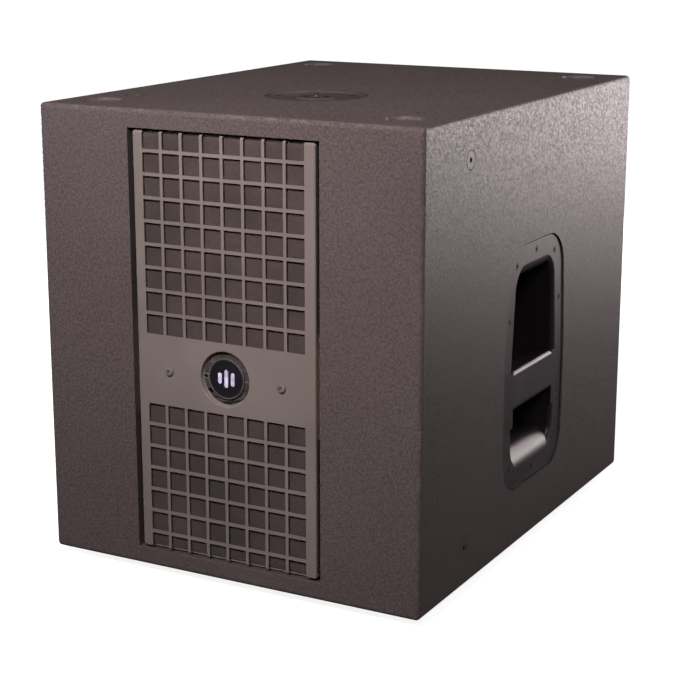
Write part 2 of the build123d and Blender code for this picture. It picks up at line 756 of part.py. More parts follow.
# ---------------------------------------------------------------- grille and badge
hole_rows = [row for row in range(HOLE_ROWS) if row not in BLANK_ROWS]
row_heights = [TOP - FIRST_HOLE_TOP - HOLE_SIZE / 2 - HOLE_PITCH * row for row in hole_rows]
columns = [HOLE_PITCH * (column - (HOLE_COLUMNS - 1) / 2) for column in range(HOLE_COLUMNS)]
grille_screw_places = [facing(x, PANEL_FACE, BADGE_Z, FORWARD) for x in (-GRILLE_SCREW_X, GRILLE_SCREW_X)]
dish_curve = []  # (radius, depth) from the lip down the hollow side to the floor
for step in range(4):
    turn = radians(30 * step)
    dish_curve.append((DISH_RADIUS + DISH_LIP * (1 - sin(turn)), DISH_LIP * (1 - cos(turn))))
for step in range(1, 9):
    turn = radians(11.25 * step)
    dish_curve.append(
        (
            DISH_FLOOR_RADIUS + (DISH_RADIUS - DISH_FLOOR_RADIUS) * cos(turn),
            DISH_LIP + (DISH_DEPTH - DISH_LIP) * sin(turn),
        )
    )
dish_back = turned(
    [
        (0, PANEL_FACE + 0.5),
        (DISH_RADIUS + SHEET, PANEL_FACE + 0.5),
        (DISH_RADIUS + SHEET, PANEL_FACE + DISH_DEPTH / 2),
        (DISH_FLOOR_RADIUS + SHEET, PANEL_BACK + DISH_DEPTH),
        (0, PANEL_BACK + DISH_DEPTH),
    ],
    z=BADGE_Z,
)
dish_void = turned(
    [(0, PANEL_FACE - 1), (DISH_RADIUS + DISH_LIP, PANEL_FACE - 1)]
    + [(radius, PANEL_FACE + depth) for radius, depth in dish_curve]
    + [(0, PANEL_FACE + DISH_DEPTH)],
    z=BADGE_Z,
)
with BuildPart() as grille_panel:
    with Locations((0, PANEL_FACE + RETURN_DEPTH / 2, MID_Z)):
        Box(PANEL_WIDTH, RETURN_DEPTH, PANEL_HEIGHT)
    fillet(grille_panel.edges().filter_by(Axis.Y), 3)
    fillet(grille_panel.faces().sort_by(Axis.Y)[0].edges(), BEND_RADIUS)
    offset(amount=-SHEET, openings=grille_panel.faces().sort_by(Axis.Y)[-1])
    add(dish_back)
    add(dish_void, mode=Mode.SUBTRACT)
    with BuildSketch(upright(0, PANEL_FACE - 1, 0)):
        with Locations(*((x, z) for x in columns for z in row_heights)):
            RectangleRounded(HOLE_SIZE, HOLE_SIZE, HOLE_CORNER)
    extrude(amount=1 + FOLD_CUT, mode=Mode.SUBTRACT)
    with Locations(*grille_screw_places):
        Hole(GRILLE_SCREW_RADIUS + RUN, RETURN_DEPTH)
save(grille_panel, "grille_panel")

with BuildPart() as grille_foam:
    with BuildSketch(upright(0, FOAM_FRONT, MID_Z)):
        RectangleRounded(PANEL_WIDTH - 2 * SHEET - 1, PANEL_HEIGHT - 2 * SHEET - 1, 3)
        with Locations((0, BADGE_Z - MID_Z)):
            Circle(DISH_RADIUS + 3, mode=Mode.SUBTRACT)
        with Locations(*((x, BADGE_Z - MID_Z) for x in (-GRILLE_SCREW_X, GRILLE_SCREW_X))):
            Circle(SPACER_RADIUS + 0.4, mode=Mode.SUBTRACT)
    extrude(amount=FOAM_THICKNESS)
save(grille_foam, "grille_foam")

with BuildPart() as grille_crossbar:
    with Locations((0, INNER_FRONT + CROSSBAR_THICKNESS / 2, BADGE_Z)):
        Box(CROSSBAR_WIDTH, CROSSBAR_THICKNESS, CROSSBAR_HEIGHT)
    with Locations(*grille_screw_places):
        Hole(GRILLE_SCREW_RADIUS + RUN, 2 * PLY)
save(grille_crossbar, "grille_crossbar")

with BuildPart() as grille_spacers:
    with BuildSketch(upright(0, PANEL_BACK, BADGE_Z)):
        with Locations((-GRILLE_SCREW_X, 0), (GRILLE_SCREW_X, 0)):
            Circle(SPACER_RADIUS)
            Circle(GRILLE_SCREW_RADIUS + RUN, mode=Mode.SUBTRACT)
    extrude(amount=INNER_FRONT - PANEL_BACK)
save(grille_spacers, "grille_spacers")

grille_screw = button_screw(5, 2.6, GRILLE_SCREW_RADIUS, 26, 1.9)
with BuildPart() as grille_screws:
    with Locations(*grille_screw_places):
        add(grille_screw)
save(grille_screws, "grille_screws")

with BuildPart() as badge_ring:
    with BuildSketch(upright(0, PANEL_FACE + DISH_DEPTH, BADGE_Z)):
        Circle(RING_RADIUS)
        Circle(DISC_RADIUS, mode=Mode.SUBTRACT)
    extrude(amount=-RING_HEIGHT)
    fillet(badge_ring.faces().sort_by(Axis.Y)[0].edges(), 0.6)
save(badge_ring, "badge_ring")

with BuildPart() as badge_disc:
    with BuildSketch(upright(0, PANEL_FACE + DISH_DEPTH, BADGE_Z)):
        Circle(DISC_RADIUS)
    extrude(amount=-DISC_HEIGHT)
save(badge_disc, "badge_disc")

# ---------------------------------------------------------------- handles
with BuildPart() as pocket_void:
    with BuildSketch(side_plane(HANDLE_FACE)):
        add(pocket_outline)
    extrude(amount=-POCKET_DEPTH, taper=POCKET_DRAFT)
    fillet(pocket_void.faces().sort_by(Axis.X)[0].edges(), POCKET_FLOOR_RADIUS)

with BuildPart() as pocket_shell:
    with BuildSketch(side_plane(HANDLE_FACE)):
        add(shell_outline)
    extrude(amount=-POCKET_DEPTH - POCKET_WALL, taper=POCKET_DRAFT)
    fillet(pocket_shell.faces().sort_by(Axis.X)[0].edges(), POCKET_FLOOR_RADIUS + 2)

with BuildPart() as tray_blank:
    with BuildSketch(side_plane(HANDLE_SEAT)):
        add(flange_outline)
    extrude(amount=FLANGE)
    add(pocket_shell.part)

lower_lip = rolled_edge(tray_blank.part, LIP_FOOT, LIP_RADIUS, 1)
upper_brow = rolled_edge(tray_blank.part, BROW_FOOT, BROW_RADIUS, -1)

tray_sink = countersink(4, 2)
with BuildPart() as right_handle_tray:
    add(tray_blank.part)
    add(pocket_void.part, mode=Mode.SUBTRACT)
    fillet(right_handle_tray.faces().sort_by(Axis.X)[-1].inner_wires()[0].edges(), MOUTH_RADIUS)
    add(lower_lip)
    add(upper_brow)
    with Locations((POCKET_FLOOR + LIP_HOLLOW_INSET, HANDLE_Y, LIP_FOOT + LIP_RADIUS - LIP_SKIN)):
        below = (Align.MIN, Align.CENTER, Align.MAX)
        Box(*LIP_HOLLOW, LIP_RADIUS, align=below, mode=Mode.SUBTRACT)
    with Locations((HANDLE_SEAT + FLANGE, HANDLE_Y, (GRIP_TOP + GRIP_WING_BOTTOM) / 2)):
        Box(2 * FLANGE, WING_REACH, GRIP_TOP - GRIP_WING_BOTTOM + 0.6, mode=Mode.SUBTRACT)
    with Locations(*(facing(HANDLE_FACE, HANDLE_Y + y, z, (1, 0, 0)) for y, z in TRAY_SCREWS)):
        add(tray_sink, mode=Mode.SUBTRACT)
save(right_handle_tray, "right_handle_tray")

with BuildPart() as left_handle_tray:
    mirror(right_handle_tray.part, about=Plane.YZ)
save(left_handle_tray, "left_handle_tray")

with BuildPart() as grip_wings:
    with BuildSketch(side_plane(HANDLE_SEAT)):
        add(flange_outline)
    extrude(amount=FLANGE)
    with Locations((HANDLE_SEAT, HANDLE_Y, (GRIP_TOP + GRIP_WING_BOTTOM) / 2)):
        Box(4 * FLANGE, WING_REACH, GRIP_TOP - GRIP_WING_BOTTOM, mode=Mode.INTERSECT)
    with Locations((HANDLE_SEAT, HANDLE_Y, GRIP_TOP - 30)):
        Box(4 * FLANGE, 2 * GRIP_HALF_LENGTH - 4, 2 * (POCKET_TOP - GRIP_TOP), mode=Mode.SUBTRACT)
    with Locations(*(facing(HANDLE_FACE, HANDLE_Y + y, z, (1, 0, 0)) for y, z in GRIP_SCREWS)):
        add(tray_sink, mode=Mode.SUBTRACT)

with BuildPart() as right_grip_bar:
    with Locations((HANDLE_FACE - GRIP_THICKNESS / 2, HANDLE_Y, (GRIP_TOP + GRIP_BOTTOM) / 2)):
        Box(GRIP_THICKNESS, 2 * GRIP_HALF_LENGTH, GRIP_TOP - GRIP_BOTTOM)
    fillet(right_grip_bar.edges().filter_by(Axis.Y).group_by(Axis.Z)[-1], GRIP_TOP_RADIUS)
    fillet(right_grip_bar.edges().filter_by(Axis.Y).group_by(Axis.Z)[0], GRIP_BOTTOM_RADIUS)
    add(grip_wings.part)
save(right_grip_bar, "right_grip_bar")

with BuildPart() as left_grip_bar:
    mirror(right_grip_bar.part, about=Plane.YZ)
save(left_grip_bar, "left_grip_bar")

handle_screw_places = []
for side in (-1, 1):
    for y, z in ALL_HANDLE_SCREWS:
        handle_screw_places.append(facing(side * HANDLE_FACE, HANDLE_Y + y, z, (side, 0, 0)))
handle_screw = countersunk_screw(4, 2, 14, 1.4)
with BuildPart() as handle_screws:
    with Locations(*handle_screw_places):
        add(handle_screw)
save(handle_screws, "handle_screws")

# ---------------------------------------------------------------- pole socket and rigging points
socket_shape = upright_turned(
    [
        (POLE_NUT_RADIUS, TOP - 1),
        (POLE_NUT_RADIUS + 6, TOP - 1),
        (POLE_NUT_RADIUS + 8, TOP - POLE_DISH),
        (POLE_FLANGE_RADIUS - SOCKET_RIM - 2, TOP - POLE_DISH),
        (POLE_FLANGE_RADIUS - SOCKET_RIM, TOP),
        (POLE_FLANGE_RADIUS, TOP),
        (POLE_FLANGE_RADIUS, TOP - POLE_FLANGE),
        (SOCKET_RADIUS, TOP - POLE_FLANGE),
        (SOCKET_RADIUS, TOP - POLE_NUT_LENGTH - 6),
        (0, TOP - POLE_NUT_LENGTH - 6),
        (0, TOP - POLE_NUT_LENGTH - 1),
        (POLE_NUT_RADIUS, TOP - POLE_NUT_LENGTH - 1),
    ],
    0,
    POLE_Y,
)
with BuildPart() as pole_socket:
    add(socket_shape)
    with Locations((0, POLE_Y, TOP - POLE_DISH)):
        with PolarLocations(POLE_SCREW_CIRCLE, 6):
            add(tray_sink, mode=Mode.SUBTRACT)
save(pole_socket, "pole_socket")

with BuildPart() as pole_nut:
    with BuildSketch(Plane.XY.offset(TOP - 1)):
        with Locations((0, POLE_Y)):
            Circle(POLE_NUT_RADIUS)
            Circle(POLE_BORE_RADIUS, mode=Mode.SUBTRACT)
    extrude(amount=-POLE_NUT_LENGTH)
    mouth = pole_nut.edges().filter_by(GeomType.CIRCLE).group_by(Axis.Z)[-1]
    chamfer(mouth.sort_by(SortBy.RADIUS)[0], 1.5)
save(pole_nut, "pole_nut")

socket_screw = countersunk_screw(4, 2, 13, 1.4)
with BuildPart() as pole_socket_screws:
    with Locations((0, POLE_Y, TOP - POLE_DISH)):
        with PolarLocations(POLE_SCREW_CIRCLE, 6):
            add(socket_screw)
save(pole_socket_screws, "pole_socket_screws")

rig_places = [facing(x, RIG_Y, TOP, UPWARD) for x in (-RIG_TOP_X, RIG_TOP_X)]
for side in (-1, 1):
    rig_places += [facing(side * SIDE, RIG_Y, z, (side, 0, 0)) for z in (TOP - RIG_DROP, FLOOR + RIG_DROP)]

plug_seat = countersink(PLUG_HEAD, M10_MINOR - RUN)
with BuildPart() as insert_shape:
    Cylinder(INSERT_FLANGE_RADIUS, INSERT_FLANGE, align=(Align.CENTER, Align.CENTER, Align.MAX))
    Cylinder(INSERT_RADIUS, INSERT_LENGTH, align=(Align.CENTER, Align.CENTER, Align.MAX))
    add(plug_seat, mode=Mode.SUBTRACT)

with BuildPart() as rigging_inserts:
    with Locations(*rig_places):
        add(insert_shape.part)
save(rigging_inserts, "rigging_inserts")

plug_shape = countersunk_screw(PLUG_HEAD, M10_MINOR - RUN, 15, 3.2)
with BuildPart() as rigging_plugs:
    with Locations(*rig_places):
        add(plug_shape)
save(rigging_plugs, "rigging_plugs")

# ---------------------------------------------------------------- feet
FOOT_SEAT = 5.0  # height of the screw head's seat inside a foot
FOOT_BORE = 7.5
for end, y in (("front", -FOOT_Y), ("rear", FOOT_Y)):
    for hand, x in (("left", -FOOT_X), ("right", FOOT_X)):
        rubber = upright_turned(
            [
                (FOOT_BORE, 0),
                (FOOT_RADIUS - 3, 0),
                (FOOT_RADIUS - 1.5, 1.5),
                (FOOT_RADIUS, FOOT_HEIGHT),
                (2.5 + RUN, FOOT_HEIGHT),
                (2.5 + RUN, FOOT_SEAT),
                (FOOT_BORE, FOOT_SEAT),
            ],
            x,
            y,
        )
        with BuildPart() as foot:
            add(rubber)
        save(foot, f"foot_{end}_{hand}")

foot_screw = button_screw(5, 3, 2.5, 18, 1.9)
with BuildPart() as foot_screws:
    with Locations(*(facing(x, y, FOOT_SEAT, (0, 0, -1)) for x, y in foot_places)):
        add(foot_screw)
save(foot_screws, "foot_screws")

# ---------------------------------------------------------------- amplifier tray and its cover
amp_screw_places = [facing(x, BACK, z, REARWARD) for x, z in AMP_SCREWS]
amp_sink = countersink(3.6, 2)
with BuildPart() as amp_tray:
    with Locations((0, BACK - TRAY_SHEET / 2, AMP_Z)):
        Box(TRAY_WIDTH, TRAY_SHEET, TRAY_HEIGHT)
    with Locations((0, (TRAY_IN + BACK) / 2, AMP_Z)):
        Box(RECESS_WIDTH + 2 * TRAY_SHEET, BACK - TRAY_IN, RECESS_HEIGHT + 2 * TRAY_SHEET)
    with Locations((0, (TRAY_OUT + BACK + 1) / 2, AMP_Z)):
        Box(RECESS_WIDTH, TRAY_DEPTH + 1, RECESS_HEIGHT, mode=Mode.SUBTRACT)
    with Locations((0, TRAY_OUT, (FIN_BOTTOM + FIN_TOP) / 2)):
        with GridLocations(FIN_SPAN / (FIN_COUNT - 1), 1, FIN_COUNT, 1):
            Box(
                FIN_THICKNESS,
                TRAY_DEPTH - 2,
                FIN_TOP - FIN_BOTTOM,
                align=(Align.CENTER, Align.MIN, Align.CENTER),
            )
    with Locations(*amp_screw_places):
        add(amp_sink, mode=Mode.SUBTRACT)
    with Locations(*(facing(x, TRAY_OUT, CONTROL_Z, REARWARD) for x in (LEVEL_X, LOWPASS_X))):
        Hole(BUSHING_RADIUS, 4)
    with Locations(facing(POLARITY_X, TRAY_OUT, CONTROL_Z, REARWARD)):
        Hole(BUTTON_RADIUS + RUN, 4)
    with Locations(*(facing(x, TRAY_OUT, CONTROL_Z, REARWARD) for x in LAMPS_X)):
        Hole(1.5, 4)
    with Locations(*(facing(x, TRAY_OUT, XLR_Z, REARWARD) for x in (INPUT_X, LINK_X))):
        Hole(XLR_BARREL, 4)
    with Locations((INPUT_X, TRAY_OUT, XLR_Z + LATCH_RISE)):
        Box(7, 8, 4, mode=Mode.SUBTRACT)
    with Locations((POWER_X, TRAY_OUT, SWITCH_Z)):
        Box(ROCKER_BODY[0] + CUT_SLACK, 8, ROCKER_BODY[1] + CUT_SLACK, mode=Mode.SUBTRACT)
    with Locations((POWER_X, TRAY_OUT, MAINS_Z)):
        Box(MAINS_BODY[0] + CUT_SLACK, 8, MAINS_BODY[1] + CUT_SLACK, mode=Mode.SUBTRACT)
save(amp_tray, "amp_tray")

with BuildPart() as amp_housing:
    with Locations((0, TRAY_IN - HOUSING_DEPTH / 2, AMP_Z)):
        Box(HOUSING_WIDTH, HOUSING_DEPTH, HOUSING_HEIGHT)
    fillet(amp_housing.edges().filter_by(Axis.Y), 6)
    offset(amount=-2, openings=amp_housing.faces().sort_by(Axis.Y)[-1])
save(amp_housing, "amp_housing")

CAPACITOR_RADIUS = 12.0
CAPACITOR_LENGTH = 40.0
with BuildPart() as amp_circuit_board:
    with Locations((0, BOARD_FACE - BOARD_THICKNESS / 2, AMP_Z)):
        Box(HOUSING_WIDTH - 20, BOARD_THICKNESS, HOUSING_HEIGHT - 20)
    with BuildSketch(upright(0, BOARD_FACE - BOARD_THICKNESS, AMP_Z)):
        with Locations(*((x, z) for x in (-90, -60) for z in (35, 70, 105))):
            Circle(CAPACITOR_RADIUS)
    extrude(amount=-CAPACITOR_LENGTH)
save(amp_circuit_board, "amp_circuit_board")

TRANSFORMER_X = -30.0
TRANSFORMER_Z = 190.0
TRANSFORMER_OUTER = 58.0
TRANSFORMER_INNER = 18.0
TRANSFORMER_LENGTH = 46.0
with BuildPart() as power_transformer:
    with BuildSketch(upright(TRANSFORMER_X, HOUSING_BACK, TRANSFORMER_Z)):
        Circle(TRANSFORMER_OUTER)
        Circle(TRANSFORMER_INNER, mode=Mode.SUBTRACT)
    extrude(amount=TRANSFORMER_LENGTH)
    fillet(power_transformer.edges().filter_by(GeomType.CIRCLE), 8)
save(power_transformer, "power_transformer")

amp_screw = countersunk_screw(3.6, 2, 14, 1.3)
with BuildPart() as amp_screws:
    with Locations(*amp_screw_places):
        add(amp_screw)
save(amp_screws, "amp_screws")

# ---------------------------------------------------------------- amplifier controls
pot_places = [(-LEVEL_X, 0), (-LOWPASS_X, 0)]
with BuildPart() as control_modules:
    with BuildSketch(upright(0, BOARD_FACE, CONTROL_Z)):
        with Locations(*pot_places):
            Circle(8)
    extrude(amount=TRAY_IN - BOARD_FACE - 1)
    with BuildSketch(upright(0, BOARD_FACE, CONTROL_Z)):
        with Locations(*pot_places):
            Circle(BUSHING_RADIUS)
    extrude(amount=BUSHING_END - BOARD_FACE)
    with BuildSketch(upright(0, SHAFT_END - 0.5, CONTROL_Z)):
        with Locations(*pot_places):
            Circle(SHAFT_RADIUS + RUN)
    extrude(amount=30, mode=Mode.SUBTRACT)
    with BuildSketch(upright(POLARITY_X, BOARD_FACE, CONTROL_Z)):
        Rectangle(12, 12)
    extrude(amount=10)
    with BuildSketch(upright(POLARITY_X, BOARD_FACE + 1, CONTROL_Z)):
        Circle(BUTTON_RADIUS + RUN)
    extrude(amount=12, mode=Mode.SUBTRACT)
save(control_modules, "control_modules")


def knob(x, label):
    """Control knob on its shaft, with a skirt at its foot and a pointer groove."""
    start = BUSHING_END + 0.4
    end = start + KNOB_HEIGHT
    shape = turned(
        [
            (0, SHAFT_END),
            (SHAFT_RADIUS, SHAFT_END),
            (SHAFT_RADIUS, start),
            (KNOB_RADIUS, start),
            (KNOB_RADIUS, start + 3),
            (KNOB_RADIUS - 1.8, start + 3.6),
            (KNOB_RADIUS - 2.4, end - 1),
            (KNOB_RADIUS - 3.4, end),
            (0, end),
        ],
        x,
        CONTROL_Z,
    )
    with BuildPart() as piece:
        add(shape)
        with Locations((x, end, CONTROL_Z + KNOB_RADIUS / 2)):
            Box(1.4, 1.4, KNOB_RADIUS, mode=Mode.SUBTRACT)
    save(piece, label)


knob(LEVEL_X, "level_knob")
knob(LOWPASS_X, "lowpass_knob")

button_shape = turned(
    [
        (0, BOARD_FACE + 4),
        (BUTTON_RADIUS, BOARD_FACE + 4),
        (BUTTON_RADIUS, TRAY_IN - 2.5),
        (BUTTON_RADIUS + 1.5, TRAY_IN - 2.5),
        (BUTTON_RADIUS + 1.5, TRAY_IN - 0.5),
        (BUTTON_RADIUS, TRAY_IN - 0.5),
        (BUTTON_RADIUS, TRAY_OUT + 4.6),
        (BUTTON_RADIUS - 0.6, TRAY_OUT + 5.2),
        (0, TRAY_OUT + 5.2),
    ],
    POLARITY_X,
    CONTROL_Z,
)
with BuildPart() as polarity_button:
    add(button_shape)
save(polarity_button, "polarity_button")

with BuildPart() as indicator_lamps:
    with BuildSketch(upright(0, TRAY_IN - 5, CONTROL_Z)):
        with Locations(*((-x, 0) for x in LAMPS_X)):
            Circle(1.5)
    extrude(amount=TRAY_SHEET + 6)
    fillet(indicator_lamps.faces().group_by(Axis.Y)[-1].edges(), 0.8)
save(indicator_lamps, "indicator_lamps")


# ---------------------------------------------------------------- signal sockets
def xlr_shell(x):
    """Square-flanged round socket, its cup open to the back."""
    with BuildPart() as shell:
        with BuildSketch(upright(x, TRAY_OUT, XLR_Z)):
            RectangleRounded(SOCKET_WIDTH, SOCKET_HEIGHT, 2.5)
        extrude(amount=XLR_FLANGE)
        with BuildSketch(upright(x, BOARD_FACE, XLR_Z)):
            Circle(XLR_BARREL)
        extrude(amount=TRAY_OUT - BOARD_FACE)
        with BuildSketch(upright(x, XLR_FACE, XLR_Z)):
            Circle(XLR_CUP_RADIUS)
        extrude(amount=-XLR_CUP_DEPTH, mode=Mode.SUBTRACT)
    return shell.part


PIN_SPOTS = [(PIN_CIRCLE * cos(radians(a)), PIN_CIRCLE * sin(radians(a))) for a in (0, 180, 270)]
input_shell = xlr_shell(INPUT_X)
with BuildPart() as xlr_input:
    add(input_shell)
    with BuildSketch(upright(INPUT_X, XLR_FACE - XLR_CUP_DEPTH, XLR_Z)):
        Circle(7)
        with Locations(*PIN_SPOTS):
            Circle(1.35, mode=Mode.SUBTRACT)
    extrude(amount=XLR_CUP_DEPTH - 5)
    with Locations((INPUT_X, TRAY_OUT, XLR_Z + LATCH_RISE)):
        Box(6.6, 20, 3.2, mode=Mode.SUBTRACT)
save(xlr_input, "xlr_input")

with BuildPart() as xlr_latch:
    with Locations((INPUT_X, TRAY_OUT + 1.5, XLR_Z + LATCH_RISE)):
        Box(6, 5.4, 2.6)
save(xlr_latch, "xlr_latch")

link_shell = xlr_shell(LINK_X)
with BuildPart() as xlr_link:
    add(link_shell)
    with BuildSketch(upright(LINK_X, XLR_FACE - XLR_CUP_DEPTH, XLR_Z)):
        with Locations(*PIN_SPOTS):
            Circle(1.2)
    extrude(amount=XLR_CUP_DEPTH - 5)
save(xlr_link, "xlr_link")

# ---------------------------------------------------------------- mains inlet and power switch
with BuildPart() as mains_inlet:
    with BuildSketch(upright(POWER_X, TRAY_OUT, MAINS_Z)):
        RectangleRounded(*MAINS_FLANGE, 3)
    extrude(amount=MAINS_FACE - TRAY_OUT)
    with BuildSketch(upright(POWER_X, BOARD_FACE, MAINS_Z)):
        Rectangle(*MAINS_BODY)
    extrude(amount=TRAY_OUT - BOARD_FACE)
    with BuildSketch(upright(POWER_X, MAINS_FACE, MAINS_Z)):
        Rectangle(*MAINS_CAVITY)
    extrude(amount=-MAINS_CAVITY_DEPTH, mode=Mode.SUBTRACT)
    with BuildSketch(upright(POWER_X, MAINS_FACE - MAINS_CAVITY_DEPTH, MAINS_Z)):
        with Locations((-7, -2.5), (7, -2.5), (0, 2.5)):
            Rectangle(2, 4)
    extrude(amount=MAINS_CAVITY_DEPTH - 3)
save(mains_inlet, "mains_inlet")

with BuildPart() as rocker_frame:
    with BuildSketch(upright(POWER_X, TRAY_OUT, SWITCH_Z)):
        RectangleRounded(*ROCKER_FLANGE, 2)
    extrude(amount=ROCKER_FACE - TRAY_OUT)
    with BuildSketch(upright(POWER_X, BOARD_FACE, SWITCH_Z)):
        Rectangle(*ROCKER_BODY)
    extrude(amount=TRAY_OUT - BOARD_FACE)
    with BuildSketch(upright(POWER_X, ROCKER_FACE, SWITCH_Z)):
        Rectangle(*ROCKER_WINDOW)
    extrude(amount=-12, mode=Mode.SUBTRACT)
    with BuildSketch(side_plane(POWER_X)):
        with Locations((ROCKER_PIVOT, SWITCH_Z)):
            Circle(PIN_RADIUS + RUN)
    extrude(amount=ROCKER_WIDTH / 2 + 2, both=True, mode=Mode.SUBTRACT)
save(rocker_frame, "rocker_frame")

# (outwards, up) from the pivot, before the rocker is tipped to its off position
ROCKER_LEVEL = [(4.2, -9), (6, 0), (4.2, 9), (-3.5, 8), (-3.5, -8)]
rocker_outline = []
for out, up in ROCKER_LEVEL:
    tilt = radians(ROCKER_TILT)
    rocker_y = ROCKER_PIVOT + out * cos(tilt) - up * sin(tilt)
    rocker_z = SWITCH_Z + out * sin(tilt) + up * cos(tilt)
    rocker_outline.append((rocker_y, rocker_z))

with BuildPart() as power_rocker:
    with BuildSketch(side_plane(POWER_X - ROCKER_WIDTH / 2)):
        with BuildLine():
            Polyline(*rocker_outline, close=True)
        make_face()
    extrude(amount=ROCKER_WIDTH)
    with BuildSketch(side_plane(POWER_X)):
        with Locations((ROCKER_PIVOT, SWITCH_Z)):
            Circle(PIN_RADIUS)
    extrude(amount=ROCKER_WIDTH / 2 + 1.6, both=True)
save(power_rocker, "power_rocker")
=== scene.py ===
import json
from math import cos, hypot, pi, radians, sin

import bmesh
import bpy
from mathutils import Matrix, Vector, noise


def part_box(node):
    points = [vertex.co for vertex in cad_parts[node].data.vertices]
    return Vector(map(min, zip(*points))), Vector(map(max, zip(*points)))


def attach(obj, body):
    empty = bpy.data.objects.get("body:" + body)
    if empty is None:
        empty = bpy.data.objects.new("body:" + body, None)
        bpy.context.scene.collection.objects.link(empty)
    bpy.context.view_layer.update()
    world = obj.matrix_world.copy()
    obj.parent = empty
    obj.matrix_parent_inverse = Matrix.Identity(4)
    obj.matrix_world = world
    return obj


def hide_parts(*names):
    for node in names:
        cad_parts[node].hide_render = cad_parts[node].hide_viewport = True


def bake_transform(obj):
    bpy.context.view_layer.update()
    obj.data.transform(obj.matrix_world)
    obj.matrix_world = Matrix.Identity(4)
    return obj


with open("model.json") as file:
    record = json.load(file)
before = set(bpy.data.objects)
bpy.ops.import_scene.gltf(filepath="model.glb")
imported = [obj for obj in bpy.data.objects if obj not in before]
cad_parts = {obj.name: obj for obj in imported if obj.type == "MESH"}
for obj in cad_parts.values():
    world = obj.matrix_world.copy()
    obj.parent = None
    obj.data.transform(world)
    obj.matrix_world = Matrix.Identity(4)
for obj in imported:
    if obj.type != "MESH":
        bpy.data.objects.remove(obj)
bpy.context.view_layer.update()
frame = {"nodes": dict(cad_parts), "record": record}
nodes = frame["nodes"]
MM = 0.001


# ------------------------------------------------------------------ node materials
COAT_ROUGHNESS = 0.1
# depths below a panel's outer face where the paint ends and raw wood begins
PAINT_END, WOOD_START = 17.2 * MM, 17.6 * MM
PLY_PITCH = 3.6 * MM
CONE_RING_PITCH = 11 * MM
WEAVE_PITCH = 1.1 * MM
WIRE_PITCH = 0.9 * MM
TOOL_MARK_PITCH = 0.4 * MM


def linear(colour):
    """0-255 screen colour as the linear RGBA that shaders take."""
    parts = [c / 255 for c in colour]
    return [c / 12.92 if c <= 0.04045 else ((c + 0.055) / 1.055) ** 2.4 for c in parts] + [1.0]


